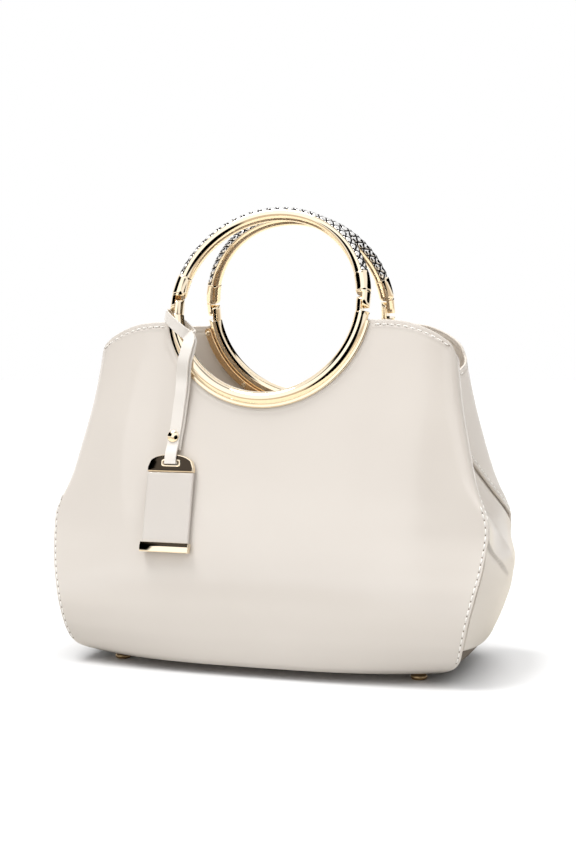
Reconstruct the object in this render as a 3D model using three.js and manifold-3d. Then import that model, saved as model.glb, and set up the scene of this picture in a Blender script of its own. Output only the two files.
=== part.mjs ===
// Patent leather handbag with two folding ring handles and a hanging tag.
// Millimetres. +X is the wearer's right of the front face, -Y is the front, +Z is up, z = 0 is the floor.
import * as THREE from 'three';
import { mergeVertices } from 'three/addons/utils/BufferGeometryUtils.js';
import Module from 'manifold-3d';

const wasm = await Module();
wasm.setup();

// ---------------------------------------------------------------- driving dimensions
const LEATHER = 2.0;          // wall of the leather panels
const GAP = 0.4;              // clear space between neighbouring pieces
const DECK_Z = 6.0;           // underside of the bag above the floor
const CORNER_Z = 97;          // height of the widest corners, where the side wings start
const SEAM_APEX_Z = 150;      // height where the two diagonal side seams meet
const FOLD_TOP_Z = 209;       // top of the front fold line
const VALLEY_TOP_Z = 196;     // lowest point of the rim, in the middle of each side
const FACE_POWER = 3.0;       // how flat the middle of the face is, low on the bag
const RING_FACE_POWER = 5.0;  // and beside the rings

const HINGE_Z = 243;          // handle hinge axis
const HINGE_Y = 34.5;
const LOWER_TILT = 13;        // degrees: the face leans back toward the top
const UPPER_TILT = 19.5;      // degrees: the handles lean together
const RING_R = 64.9;          // centre line of the ring tube
const TUBE_R = 4.7;
const LIP_R = 71.4;           // outer radius of the thin lip on the leather
const CUT_R = 70.1;           // radius of the cut-out in the leather
const FERRULE_DEG = 17.6;     // plain metal at each end of a handle
const LAP_CLEAR = 5.3;        // handle's shoulder from the hinge axis
const FRAME_CLEAR = 7.4;      // frame's shoulder below the hinge axis
const FERRULE_STEP = 0.4;     // ferrule standing proud of the tube
const PIN_R = 1.4;
const PIN_BORE_R = 1.75;

const FOOT_X = 104, FOOT_Y = 40, FOOT_R = 5.5;

// body outline: height, half width at the fold, half depth at the fold,
// half depth in the middle of the face, reach of the middle of the side,
// and how much narrower the back face is
const BODY = [
  { z: 6, width: 118, depth: 50, middle: 70, side: 119, trim: 0 },
  { z: 8.5, width: 125, depth: 53, middle: 71, side: 127, trim: 0 },
  { z: 12, width: 130.5, depth: 57, middle: 72, side: 133, trim: 0 },
  { z: 18, width: 134.5, depth: 61, middle: 73.2, side: 139, trim: 0 },
  { z: 28, width: 137, depth: 65, middle: 74.4, side: 145, trim: 0 },
  { z: 42, width: 140, depth: 66.5, middle: 75, side: 151, trim: 0 },
  { z: 58, width: 143.7, depth: 64, middle: 74.4, side: 156, trim: 0 },
  { z: 75, width: 147.5, depth: 58.5, middle: 72.4, side: 158, trim: 0.3 },
  { z: 97, width: 150, depth: 51.5, middle: 68.2, side: 145, trim: 0.6 },
  { z: 120, width: 144.6, depth: 48.5, middle: 62.9, side: 132, trim: 0.8 },
  { z: 150, width: 138.2, depth: 41.6, middle: 56, side: 123, trim: 2 },
  { z: 180, width: 132.4, depth: 34.8, middle: 49.05, side: 118, trim: 2.8 },
  { z: 209, width: 129, depth: 29, middle: 42.35, side: 116, trim: 4.5 },
  { z: 232, width: 127, depth: 26, middle: 37.05, side: 115, trim: 5 },
];

// top edge outside the cut-out: distance from the middle, height
const TOP_EDGE = [
  { x: 69.1, z: 231 },
  { x: 80, z: 231 },
  { x: 91, z: 230 },
  { x: 102, z: 227 },
  { x: 112, z: 222.5 },
  { x: 120, z: 217.4 },
];

// ---------------------------------------------------------------- small maths
const rad = (d) => (d * Math.PI) / 180;
const mix = (a, b, f) => a + (b - a) * f;
const clamp01 = (f) => Math.min(1, Math.max(0, f));
const smooth = (a, b, v) => { const f = clamp01((v - a) / (b - a)); return f * f * (3 - 2 * f); };

// monotone cubic through a table column
function along(table, key, z) {
  const n = table.length;
  if (z <= table[0].z) return table[0][key];
  if (z >= table[n - 1].z) return table[n - 1][key];
  let i = 0;
  while (table[i + 1].z < z) i++;
  const slope = (k) => (table[k + 1][key] - table[k][key]) / (table[k + 1].z - table[k].z);
  const tangent = (k) => {
    if (k === 0) return slope(0);
    if (k === n - 1) return slope(n - 2);
    const a = slope(k - 1), b = slope(k);
    return a * b <= 0 ? 0 : (2 * a * b) / (a + b);
  };
  const h = table[i + 1].z - table[i].z, t = (z - table[i].z) / h;
  const t2 = t * t, t3 = t2 * t;
  return (2 * t3 - 3 * t2 + 1) * table[i][key] + (t3 - 2 * t2 + t) * h * tangent(i)
    + (-2 * t3 + 3 * t2) * table[i + 1][key] + (t3 - t2) * h * tangent(i + 1);
}

// ---------------------------------------------------------------- body surface
// the front half; the back half is the same mirrored, with its own trim
const halfWidth = (z, back) => along(BODY, 'width', z) - (back ? along(BODY, 'trim', z) : 0);
const foldDepth = (z) => along(BODY, 'depth', z);
const facePoint = (s, z, back) => {
  const middle = along(BODY, 'middle', z), fold = foldDepth(z), trim = back ? along(BODY, 'trim', z) : 0;
  const power = mix(FACE_POWER, RING_FACE_POWER, smooth(110, 175, z));
  const x = s * halfWidth(z, false) - Math.sign(s) * trim * clamp01((Math.abs(s) - 0.64) / 0.36) ** 1.5;
  return [x, -(middle - (middle - fold) * Math.abs(s) ** power), z];
};
// v = 0 at the fold, v = 1 in the middle of the side
const sideShape = (v, z) => { const e = smooth(62, 97, z); return mix(1 - (1 - v) ** 2, v, e); };
const sidePoint = (v, z, back) => {
  const w = halfWidth(z, back), reach = along(BODY, 'side', z);
  return [w + (reach - w) * sideShape(v, z), -foldDepth(z) * (1 - v), z];
};
const seamZ = (v) => mix(CORNER_Z, SEAM_APEX_Z, v);
const wingTopZ = (v) => VALLEY_TOP_Z + (FOLD_TOP_Z - VALLEY_TOP_Z) * (1 - v) ** 1.6;

// ---------------------------------------------------------------- mesh helpers
function geometryOf(points, triangles) {
  let volume = 0;
  for (const [a, b, c] of triangles) {
    const [p, q, r] = [points[a], points[b], points[c]];
    volume += p[0] * (q[1] * r[2] - q[2] * r[1]) - p[1] * (q[0] * r[2] - q[2] * r[0]) + p[2] * (q[0] * r[1] - q[1] * r[0]);
  }
  const g = new THREE.BufferGeometry();
  g.setAttribute('position', new THREE.Float32BufferAttribute(points.flat(), 3));
  g.setIndex(triangles.flatMap(([a, b, c]) => (volume < 0 ? [a, c, b] : [a, b, c])));
  return g;
}
function mirrorGeometry(g, axis) {
  const points = [], triangles = [], pos = g.getAttribute('position'), idx = g.getIndex();
  for (let i = 0; i < pos.count; i++) {
    const p = [pos.getX(i), pos.getY(i), pos.getZ(i)];
    p[axis] *= -1;
    points.push(p);
  }
  for (let i = 0; i < idx.count; i += 3) triangles.push([idx.getX(i), idx.getX(i + 1), idx.getX(i + 2)]);
  return geometryOf(points, triangles);
}
const moved = (g, matrix) => g.clone().applyMatrix4(matrix);

function toManifold(g) {
  const bare = g.clone();
  bare.deleteAttribute('normal');
  bare.deleteAttribute('uv');
  const welded = mergeVertices(bare, 1e-4);
  return new wasm.Manifold(new wasm.Mesh({
    numProp: 3,
    vertProperties: new Float32Array(welded.getAttribute('position').array),
    triVerts: new Uint32Array(welded.getIndex().array),
  }));
}
function fromManifold(m) {
  const out = m.getMesh(), points = [], triangles = [];
  for (let i = 0; i < out.vertProperties.length; i += out.numProp) points.push([out.vertProperties[i], out.vertProperties[i + 1], out.vertProperties[i + 2]]);
  for (let i = 0; i < out.triVerts.length; i += 3) triangles.push([out.triVerts[i], out.triVerts[i + 1], out.triVerts[i + 2]]);
  return geometryOf(points, triangles);
}

// a leather sheet: outer points on a grid, thickened inward; open borders get an edge wall
function sheetSolid(grid, thickness) {
  const index = new Map(), outer = [];
  grid.forEach((column, i) => column.forEach((p, j) => { if (p) { index.set(i * 1000 + j, outer.length); outer.push(p); } }));
  const quads = [];
  for (let i = 0; i + 1 < grid.length; i++) for (let j = 0; j + 1 < grid[i].length; j++) {
    const q = [[i, j], [i + 1, j], [i + 1, j + 1], [i, j + 1]].map(([a, b]) => index.get(a * 1000 + b));
    if (q.every((k) => k !== undefined)) quads.push(q);
  }
  const normal = outer.map(() => new THREE.Vector3());
  const at = (k) => new THREE.Vector3(...outer[k]);
  for (const q of quads) {
    const n = at(q[2]).sub(at(q[0])).cross(at(q[3]).sub(at(q[1])));
    q.forEach((k) => normal[k].add(n));
  }
  const inner = outer.map((p, k) => { const n = normal[k].normalize(); return [p[0] - n.x * thickness, p[1] - n.y * thickness, p[2] - n.z * thickness]; });
  const N = outer.length, triangles = [], edges = new Map();
  for (const [a, b, c, d] of quads) {
    triangles.push([a, b, c], [a, c, d], [N + a, N + c, N + b], [N + a, N + d, N + c]);
    for (const [u, v] of [[a, b], [b, c], [c, d], [d, a]]) {
      if (edges.has(v + '_' + u)) edges.delete(v + '_' + u); else edges.set(u + '_' + v, [u, v]);
    }
  }
  for (const [u, v] of edges.values()) triangles.push([u, N + u, N + v], [u, N + v, v]);
  return geometryOf([...outer, ...inner], triangles);
}

// sections (lists of equal length) joined one after the other, with flat ends
function loft(sections) {
  const points = [], key = new Map(), id = [];
  const weld = (p) => {
    const k = p.map((c) => Math.round(c * 2000)).join('_');
    if (!key.has(k)) { key.set(k, points.length); points.push(p); }
    return key.get(k);
  };
  sections.forEach((s) => id.push(s.map(weld)));
  const triangles = [], n = sections[0].length;
  const push = (a, b, c) => { if (a !== b && b !== c && c !== a) triangles.push([a, b, c]); };
  for (let i = 0; i + 1 < id.length; i++) for (let j = 0; j < n; j++) {
    const k = (j + 1) % n;
    push(id[i][j], id[i][k], id[i + 1][k]);
    push(id[i][j], id[i + 1][k], id[i + 1][j]);
  }
  const cap = (ring, s, flip) => {
    const o = new THREE.Vector3(...s[0]);
    let n3 = new THREE.Vector3();
    for (let j = 1; j + 1 < s.length; j++) n3.add(new THREE.Vector3(...s[j]).sub(o).cross(new THREE.Vector3(...s[j + 1]).sub(o)));
    n3.normalize();
    const u = new THREE.Vector3(Math.abs(n3.x) > 0.8 ? 0 : 1, Math.abs(n3.x) > 0.8 ? 1 : 0, 0).cross(n3).normalize();
    const v = n3.clone().cross(u);
    const flat = s.map((p) => { const d = new THREE.Vector3(...p).sub(o); return new THREE.Vector2(d.dot(u), d.dot(v)); });
    for (const [a, b, c] of THREE.ShapeUtils.triangulateShape(flat, [])) push(ring[a], flip ? ring[c] : ring[b], flip ? ring[b] : ring[c]);
  };
  cap(id[0], sections[0], true);
  cap(id[id.length - 1], sections[sections.length - 1], false);
  return geometryOf(points, triangles);
}

// ---------------------------------------------------------------- leather pieces
const ARC_DEG = [0, 14, 28, 41, 53, 64, 73, 80.2];
const ROWS = [DECK_Z, 8.5, 12, 18, 28, 42, 58, 77, CORNER_Z];
const UPPER_ROWS = 5;
const K = ROWS.length - 1;

function panelGrid(back) {
  const columns = [];
  const planeZ = HINGE_Z;
  for (const d of ARC_DEG) {
    const x = CUT_R * Math.sin(rad(d));
    columns.push({ x, top: planeZ - CUT_R * Math.cos(rad(d)) * Math.cos(rad(LOWER_TILT)), low: Math.sin(rad(d)) * 0.545 / Math.sin(rad(80.2)) });
  }
  for (const p of TOP_EDGE.slice(1)) columns.push({ x: p.x, top: p.z, low: mix(0.545, 0.93, (p.x - 69.1) / (120 - 69.1)) });
  const half = [];
  for (const c of columns) {
    const line = [], sTop = c.x / halfWidth(c.top, false);
    for (let j = 0; j <= K; j++) line.push(facePoint(c.low, ROWS[j], back));
    for (let j = 1; j <= UPPER_ROWS; j++) { const f = j / UPPER_ROWS; line.push(facePoint(mix(c.low, sTop, f), mix(CORNER_Z, c.top, f), back)); }
    half.push(line);
  }
  const upperZ = (low, high) => Array.from({ length: UPPER_ROWS + 1 }, (_, j) => mix(low, high, j / UPPER_ROWS));
  // fold line, rounded above the widest corner
  const fold = ROWS.slice(0, K).map((z) => facePoint(1, z, back));
  upperZ(CORNER_Z, FOLD_TOP_Z).forEach((z) => {
    const p = facePoint(1, z, back), r = 8 * smooth(97, 125, z), w = halfWidth(z, back);
    const a = facePoint(1 - r / w, z, back), b = sidePoint(r / foldDepth(z), z, back);
    fold.push([0, 1, 2].map((k) => p[k] * 0.5 + a[k] * 0.25 + b[k] * 0.25));
  });
  const wing = [0.2, 0.55, 1 - GAP / 2 / 33].map((v) => [
    ...Array(K).fill(null),
    ...upperZ(seamZ(v), wingTopZ(v)).map((z) => sidePoint(v === 0.2 || v === 0.55 ? v : 1 - GAP / 2 / foldDepth(z), z, back)),
  ]);
  const right = [...half, fold, ...wing];
  const flip = (p) => p && [-p[0], p[1], p[2]];
  return [...right.slice(1).reverse().map((c) => c.map(flip)), ...right];
}
function gussetGrid() {
  const inset = LEATHER + 1.2, grid = [];
  const rows = [DECK_Z, 8.5, 12, 18, 28, 42, 56, 67, 76, 86];
  for (const share of [-1, -0.8, -0.52, -0.25, 0, 0.25, 0.52, 0.8, 1]) {
    const back = share > 0, line = [];
    const put = (z) => {
      const depth = foldDepth(z), y = share * (depth - inset);
      const p = sidePoint(1 - Math.abs(y) / depth, z, back);
      line.push([p[0], y, z]);
    };
    rows.forEach(put);
    const v = 1 - Math.abs(share) * 0.945;
    const top = seamZ(v) - mix(0.7, 2.0, Math.abs(share) ** 4);
    put(mix(86, top, 0.5));
    put(top);
    grid.push(line);
  }
  return grid;
}
function baseSolid() {
  const inset = LEATHER + 0.7, outline = [];
  const front = [-1, -0.85, -0.65, -0.4, -0.15, 0.15, 0.4, 0.65, 0.85, 1];
  const w = 118 - inset, edge = (s) => 70 - 20 * Math.abs(s) ** FACE_POWER - inset - 0.2;
  front.forEach((s) => outline.push([s * w, -edge(s)]));
  [...front].reverse().forEach((s) => outline.push([s * w, edge(s)]));
  const low = outline.map(([x, y]) => [x, y, DECK_Z]), high = outline.map(([x, y]) => [x * 1.001, y, DECK_Z + 2.4]);
  return loft([low, high]);
}

// ---------------------------------------------------------------- ring pieces, in the ring's own plane
// local frame: hinge axis along x through the origin, ring in the xz plane, front is -y
const SIDES = 10;
const circle = Array.from({ length: SIDES }, (_, j) => rad((j + 0.5) * 360 / SIDES));
const onArc = (r, a, deg) => [r * Math.cos(rad(deg)), -a, r * Math.sin(rad(deg))];
// end of a tube that stops at a hinge: dir +1 grows upward from the hinge, keep = +1 outer half, -1 inner half
function lapEnd(dir, keep, side, shoulder, tongue) {
  const half = (scale, z) => circle.map((t) => {
    let r = TUBE_R * Math.cos(t), a = TUBE_R * Math.sin(t) * scale;
    if (keep > 0) r = Math.max(r, 0.3); else r = Math.min(r, -0.3);
    return [side * (RING_R + r), -a, z];
  });
  const full = circle.map((t) => [side * (RING_R + TUBE_R * Math.cos(t)), -TUBE_R * Math.sin(t), dir * shoulder]);
  const steps = [[0.3, -tongue], [0.64, -0.8 * tongue], [0.9, -0.44 * tongue], [1, 0], [1, shoulder]];
  return [...steps.map(([k, z]) => half(k, dir * z)), full];
}
function tubeArc(startDeg, endDeg, count, dir, section) {
  const out = [];
  for (let i = 0; i <= count; i++) out.push(section(dir * mix(startDeg, endDeg, i / count)));
  return out;
}
const START_DEG = 5.6, FRAME_START_DEG = 7.2;
function handleSolid() {
  const full = (deg, r = TUBE_R) => circle.map((t) => onArc(RING_R + r * Math.cos(t), r * Math.sin(t), deg));
  const core = (deg) => circle.map((t) => onArc(RING_R + Math.min(TUBE_R * Math.cos(t), 0.8), TUBE_R * Math.sin(t), deg));
  const wide = TUBE_R + FERRULE_STEP;
  const sections = [
    ...lapEnd(1, 1, 1, LAP_CLEAR, 4.5),
    full(START_DEG), full(6.4, wide), full(11.5, wide), full(FERRULE_DEG, wide),
    ...tubeArc(FERRULE_DEG, 180 - FERRULE_DEG, 14, 1, core),
    full(180 - FERRULE_DEG, wide), full(168.5, wide), full(173.6, wide), full(180 - START_DEG),
    ...lapEnd(1, 1, -1, LAP_CLEAR, 4.5).reverse(),
  ];
  let body = toManifold(loft(sections));
  for (const side of [1, -1]) body = body.subtract(toManifold(rod(side * (RING_R - 1), side * (RING_R + TUBE_R + 1), PIN_BORE_R)));
  return fromManifold(body);
}
function sleeveSolid() {
  const half = [-76, -57, -38, -13, 13, 38, 57, 76], r = TUBE_R - 0.1;
  const section = (deg) => half.map((t) => onArc(RING_R + r * Math.cos(rad(t)), r * Math.sin(rad(t)), deg));
  return loft(tubeArc(FERRULE_DEG + 0.35, 180 - FERRULE_DEG - 0.35, 14, 1, section));
}
function rod(x0, x1, r) {
  const ring = (x) => Array.from({ length: 10 }, (_, j) => [x, r * Math.cos(rad(j * 36)), r * Math.sin(rad(j * 36))]);
  return loft([ring(x0), ring(x1)]);
}
function frameSolid() {
  // tube with a thin lip that lies on the outer face of the leather
  const lipBase = (t) => TUBE_R * Math.cos(t);
  const section = (deg) => {
    const out = [];
    circle.forEach((t) => {
      out.push(onArc(RING_R + lipBase(t), TUBE_R * Math.sin(t), deg));
    });
    return out;
  };
  const sections = [
    ...lapEnd(-1, -1, 1, FRAME_CLEAR, 3.4),
    ...tubeArc(FRAME_START_DEG, 180 - FRAME_START_DEG, 14, -1, section),
    ...lapEnd(-1, -1, -1, FRAME_CLEAR, 3.4).reverse(),
  ];
  let body = toManifold(loft(sections));
  const lip = (deg) => [[RING_R + 2.2, 0.5], [LIP_R, 0.5], [LIP_R, 1.5], [RING_R + 2.2, 1.5]].map(([r, a]) => onArc(r, a, deg));
  body = body.add(toManifold(loft(tubeArc(10.8, 180 - 10.8, 14, -1, lip))));
  for (const side of [1, -1]) body = body.add(toManifold(rod(side * (RING_R - 2.5), side * (RING_R + 3.9), PIN_R)));
  return fromManifold(body);
}
const CLAMP_R = 70.8, CLAMP_HALF = 2.4;
function clampSolid() {
  // flat strip behind the leather that holds the ring frame
  const section = (deg) => {
    const t = Math.min(Math.abs(deg) - 10.5, 169.5 - Math.abs(deg)), wide = Math.min(1, 0.45 + t / 4);
    const mid = CLAMP_R, half = CLAMP_HALF * wide;
    return [[mid - half, -5.6], [mid + half, -5.6], [mid + half, -3.6], [mid - half, -3.6]].map(([r, a]) => onArc(r, a, deg));
  };
  const degs = [10.5, 12, 15, 22, 30, 40, 50, 60, 70, 80, 90, 100, 110, 120, 130, 140, 150, 158, 165, 168, 169.5];
  return loft(degs.map((d) => section(-d)));
}
function screwSolid(deg) {
  const c = onArc(CLAMP_R, 0, -deg);
  const ring = (r, a) => Array.from({ length: 8 }, (_, j) => [c[0] + r * Math.cos(rad(45 * j)), -a, c[2] + r * Math.sin(rad(45 * j))]);
  return loft([ring(1.9, -5.75), ring(1.9, -6.2), ring(1.0, -6.7)]);
}
const SCREW_DEG = [13.5, 51, 129, 166.5];
const lowerPlace = new THREE.Matrix4().makeTranslation(0, -HINGE_Y, HINGE_Z).multiply(new THREE.Matrix4().makeRotationX(rad(-LOWER_TILT)));
const upperPlace = new THREE.Matrix4().makeTranslation(0, -HINGE_Y, HINGE_Z).multiply(new THREE.Matrix4().makeRotationX(rad(-UPPER_TILT)));

// ---------------------------------------------------------------- hanging tag
const TAG = { x: -58, z: 136.8, roll: 0.3, out: 0.9, width: 32.6, plate: 46.9, thick: 3.6 };
const faceY = (x, z) => facePoint(x / halfWidth(z, false), z, false)[1];
const tagTop = faceY(TAG.x, TAG.z + 6) - 1.2, tagLow = faceY(TAG.x - 5, TAG.z - 56) - 1.2;
const tagSag = Math.min(0, faceY(TAG.x - 2, TAG.z - 24) - 1.2 - mix(tagTop, tagLow, 30 / 62));
const TAG_TILT = Math.atan2(tagTop - tagLow, 62);
// local frame of the tag: x across, y = 0 on its back with -y the front, z up, slot at the origin
const tagPlace = new THREE.Matrix4().makeTranslation(TAG.x, mix(tagTop, tagLow, 6 / 62) + tagSag - TAG.out, TAG.z)
  .multiply(new THREE.Matrix4().makeRotationX(-TAG_TILT))
  .multiply(new THREE.Matrix4().makeRotationY(rad(TAG.roll)));
const box = (x0, x1, y0, y1, z0, z1) => loft([
  [[x0, y0, z0], [x1, y0, z0], [x1, y1, z0], [x0, y1, z0]],
  [[x0, y0, z1], [x1, y0, z1], [x1, y1, z1], [x0, y1, z1]],
]);
function capSolid() {
  const w = TAG.width / 2, outline = [[-w, -6], [w, -6], [w, -3]];
  for (const d of [25, 50, 75, 105, 130, 155]) outline.push([w * Math.cos(rad(d)) * 0.98, -3 + 9 * Math.sin(rad(d)) ** 0.8]);
  outline.push([-w, -3]);
  const body = loft([outline.map(([x, z]) => [x, -TAG.thick, z]), outline.map(([x, z]) => [x, 0, z])]);
  return fromManifold(toManifold(body).subtract(toManifold(box(-5.6, 5.6, -TAG.thick - 1, 1, -1.4, 1.4))));
}
function strapSolid() {
  const wide = 4, thick = 0.7;
  // band round the ring tube
  const tilt = rad(38), lean = rad(12), centre = [-61.8, -38, 228.6];
  const oval = (lx, ly) => Array.from({ length: 16 }, (_, j) => {
    const t = rad(j * 22.5), c = Math.cos(t), s = Math.sin(t);
    return [Math.sign(c) * Math.abs(c) ** 0.75 * lx, Math.sign(s) * Math.abs(s) ** 0.6 * ly];
  });
  const band = (lx, ly, half) => loft([-half, half].map((n) => oval(lx, ly).map(([u, y]) => [
    centre[0] + u * Math.cos(tilt) + n * Math.sin(lean), centre[1] + y - 0.18 * u, centre[2] - u * Math.sin(tilt) + n * Math.cos(lean)])));
  let strap = toManifold(band(13, 9, wide)).subtract(toManifold(band(11.6, 7.6, wide + 1)));
  const ribbon = (path) => loft(path.map(([x, y, z, turn]) => {
    const c = Math.cos(rad(turn)) * wide, s = Math.sin(rad(turn)) * wide;
    return [[x - c, y - thick, z - s], [x + c, y - thick, z + s], [x + c, y + thick, z + s], [x - c, y + thick, z - s]];
  }));
  const lay = (x, z, off) => faceY(x, z) - off;
  strap = strap.add(toManifold(ribbon([
    [-53.2, -45.9, 223, 20], [-51.1, -48.2, 218.5, 8], [-52, -51, 212, 0], [-53.6, -52.6, 204, 0], [-54.7, lay(-54.7, 194, 6.3), 194, 0],
    [-54.9, lay(-54.9, 184, 5.6), 184, 0], [-55.7, lay(-55.7, 175.7, 4.9), 175.7, 0], [-56.6, lay(-56.6, 162.7, 4.4), 162.7, 0],
    [-57.5, lay(-57.5, 155, 4.4), 155, 0], [-57.8, lay(-57.8, 150.3, 4.6), 150.3, 0], [-58, lay(-58, 143.5, 6.7), 143.5, -0.3], [TAG.x, lay(TAG.x, 137, 7.2), 137, -0.3]])));
  strap = strap.add(toManifold(ribbon([
    [-53.2, -45.5, 222.5, 20], [-50.4, -46.4, 217.5, 8], [-50.9, -48.7, 211, 0], [-52.5, -50.3, 203, 0], [-53.5, lay(-53.5, 194, 3.9), 194, 0],
    [-53.8, lay(-53.8, 184, 3.3), 184, 0], [-54.5, lay(-54.5, 175.7, 2.9), 175.7, 0], [-55.4, lay(-55.4, 162.7, 2.5), 162.7, 0],
    [-56.3, lay(-56.3, 155, 2.5), 155, 0], [-56.8, lay(-56.8, 146, 2.7), 146, 0]])));
  return strap;
}
function rivetSolid(y) {
  const ring = (r, dy) => Array.from({ length: 12 }, (_, j) => [r * Math.cos(rad(30 * j)), dy, r * Math.sin(rad(30 * j))]);
  return moved(loft([ring(4, 0), ring(4, -0.6), ring(2.6, -2.0)]), new THREE.Matrix4().makeTranslation(-57.8, y, 155).multiply(new THREE.Matrix4().makeRotationX(rad(-LOWER_TILT))));
}

// ---------------------------------------------------------------- feet
function footSolid() {
  const profile = [[0, 0], [4.2, 0], [5.1, 0.7], [FOOT_R, 2.2], [5.2, 3.8], [3.4, 5.0], [3.4, DECK_Z - 0.3], [0, DECK_Z - 0.3]];
  return new THREE.LatheGeometry(profile.map(([r, z]) => new THREE.Vector2(r, z)), 8).rotateX(Math.PI / 2);
}

// ---------------------------------------------------------------- materials
const LEATHER_LOOK = { color: 0xe6ded3, roughness: 0.28, metalness: 0 };
const GOLD_LOOK = { color: 0xe8c98f, roughness: 0.12, metalness: 1 };
const SILVER_LOOK = { color: 0xb9b6b2, roughness: 0.2, metalness: 1 };
const STRAP_LOOK = { color: 0xf0e9e0, roughness: 0.35, metalness: 0 };

const handbag = new THREE.Group();
handbag.name = 'handbag';
function add(name, geometry, look) {
  const g = geometry.getIndex() ? geometry : mergeVertices(geometry);
  const mesh = new THREE.Mesh(g, new THREE.MeshStandardMaterial(look));
  mesh.name = name;
  handbag.add(mesh);
}

const frontPanel = sheetSolid(panelGrid(false), LEATHER);
const backPanel = mirrorGeometry(sheetSolid(panelGrid(true), LEATHER), 1);
const rightGusset = sheetSolid(gussetGrid(), LEATHER);
add('front_panel', frontPanel, LEATHER_LOOK);
add('back_panel', backPanel, LEATHER_LOOK);
add('right_gusset', rightGusset, LEATHER_LOOK);
add('left_gusset', mirrorGeometry(rightGusset, 0), LEATHER_LOOK);
add('base_panel', baseSolid(), LEATHER_LOOK);

const frame = moved(frameSolid(), lowerPlace), clampStrip = moved(clampSolid(), lowerPlace);
const handle = moved(handleSolid(), upperPlace), sleeve = moved(sleeveSolid(), upperPlace);
add('front_ring_frame', frame, GOLD_LOOK);
add('back_ring_frame', mirrorGeometry(frame, 1), GOLD_LOOK);
add('front_ring_clamp', clampStrip, GOLD_LOOK);
add('back_ring_clamp', mirrorGeometry(clampStrip, 1), GOLD_LOOK);
SCREW_DEG.forEach((deg, i) => {
  const screw = moved(screwSolid(deg), lowerPlace);
  add(`front_clamp_screw_${i + 1}`, screw, GOLD_LOOK);
  add(`back_clamp_screw_${i + 1}`, mirrorGeometry(screw, 1), GOLD_LOOK);
});
add('front_handle', handle, GOLD_LOOK);
add('front_handle_sleeve', sleeve, SILVER_LOOK);
add('back_handle', mirrorGeometry(handle, 1), GOLD_LOOK);
add('back_handle_sleeve', mirrorGeometry(sleeve, 1), SILVER_LOOK);

const capWithSlot = capSolid();
add('tag_cap', moved(capWithSlot, tagPlace), GOLD_LOOK);
add('tag_plate', moved(box(-TAG.width / 2, TAG.width / 2, -TAG.thick + 0.3, -0.3, -6.3 - TAG.plate, -6.3), tagPlace), STRAP_LOOK);
add('tag_bar', moved(box(-TAG.width / 2 - 1, TAG.width / 2 + 1, -TAG.thick - 0.6, 0, -6.6 - TAG.plate - 5.4, -6.6 - TAG.plate), tagPlace), GOLD_LOOK);
const strap = strapSolid();
const link = toManifold(moved(box(-4.3, 4.3, -TAG.thick - 1.2, 0.9, -0.7, 0.7), tagPlace));
add('tag_strap', fromManifold(strap.add(link)), STRAP_LOOK);
add('tag_rivet', rivetSolid(faceY(-57.8, 155) - 4.4 - 0.7 - 0.55), GOLD_LOOK);

for (const [i, [sx, sy]] of [[-1, -1], [1, -1], [-1, 1], [1, 1]].entries()) {
  add(`foot_${i + 1}`, moved(footSolid(), new THREE.Matrix4().makeTranslation(sx * FOOT_X, sy * FOOT_Y, 0)), GOLD_LOOK);
}

export default handbag;
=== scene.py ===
import math

import bpy
import numpy as np
from mathutils import Matrix, Vector


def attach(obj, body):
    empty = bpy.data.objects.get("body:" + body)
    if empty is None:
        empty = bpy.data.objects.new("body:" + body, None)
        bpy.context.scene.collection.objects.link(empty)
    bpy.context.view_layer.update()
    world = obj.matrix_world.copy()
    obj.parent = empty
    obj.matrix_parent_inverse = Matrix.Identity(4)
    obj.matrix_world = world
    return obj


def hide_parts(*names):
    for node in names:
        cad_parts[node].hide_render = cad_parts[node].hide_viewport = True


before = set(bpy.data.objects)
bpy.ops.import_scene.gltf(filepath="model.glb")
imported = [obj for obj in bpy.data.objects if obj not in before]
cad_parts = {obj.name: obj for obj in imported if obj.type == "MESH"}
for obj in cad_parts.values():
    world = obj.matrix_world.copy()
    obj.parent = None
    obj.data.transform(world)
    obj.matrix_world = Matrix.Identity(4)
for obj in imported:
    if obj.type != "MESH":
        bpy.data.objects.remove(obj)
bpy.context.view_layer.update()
MM = 0.001
rng = np.random.default_rng(7)

# ------------------------------------------------------------------ camera
AZ, PITCH, FOCAL_PX, DIST, SIDE, EYE_Z = 17.8, 2.5, 1310.0, 905.0, 2.5, 195.5
az, pt = math.radians(AZ), math.radians(PITCH)
right = Vector((math.cos(az), math.sin(az), 0))
ahead = Vector((-math.sin(az), math.cos(az), 0))
cam_data = bpy.data.cameras.new("camera")
cam = bpy.data.objects.new("camera", cam_data)
bpy.context.collection.objects.link(cam)
cam.location = (right * SIDE - ahead * DIST + Vector((0, 0, EYE_Z))) * MM
look = ahead * math.cos(pt) - Vector((0, 0, math.sin(pt)))
cam.rotation_euler = look.to_track_quat("-Z", "Y").to_euler()
cam_data.sensor_width = 36.0
cam_data.lens = FOCAL_PX / 864.0 * 36.0
cam_data.clip_start = 0.01
cam_data.clip_end = 100
bpy.context.scene.camera = cam

# ------------------------------------------------------------------ studio: brightness of the walls round the camera
# value, (azimuth from, to, elevation from, to, softness of the two), degrees, azimuth from the camera's side, positive to its right
WALLS = [
    (0.72, (-200, 200, -100, -1, 4, 4)),
    (0.0, (-120, -50, 9, 42, 4, 4)),
    (0.0, (60, 162, 7, 37, 5, 4)),
    (0.35, (-75, 35, 60, 76, 8, 6)),
    (1.34, (-53, 12, 4, 54, 4, 14)),
]
FLAG = (10.0, -4.0, 25.0, 33.0, 0.16)
SOFT_SHARE, LEFT_SHARE, RIGHT_SHARE, HIGH_SHARE = 1.20, 0.36, 1.20, 1.62
SUN_POWER, SUN_SOFT = 1.9, 26.0
FLOOR_BOUNCE = 0.60
SUN_FROM = (0.10, -0.40, 1.0)

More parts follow.
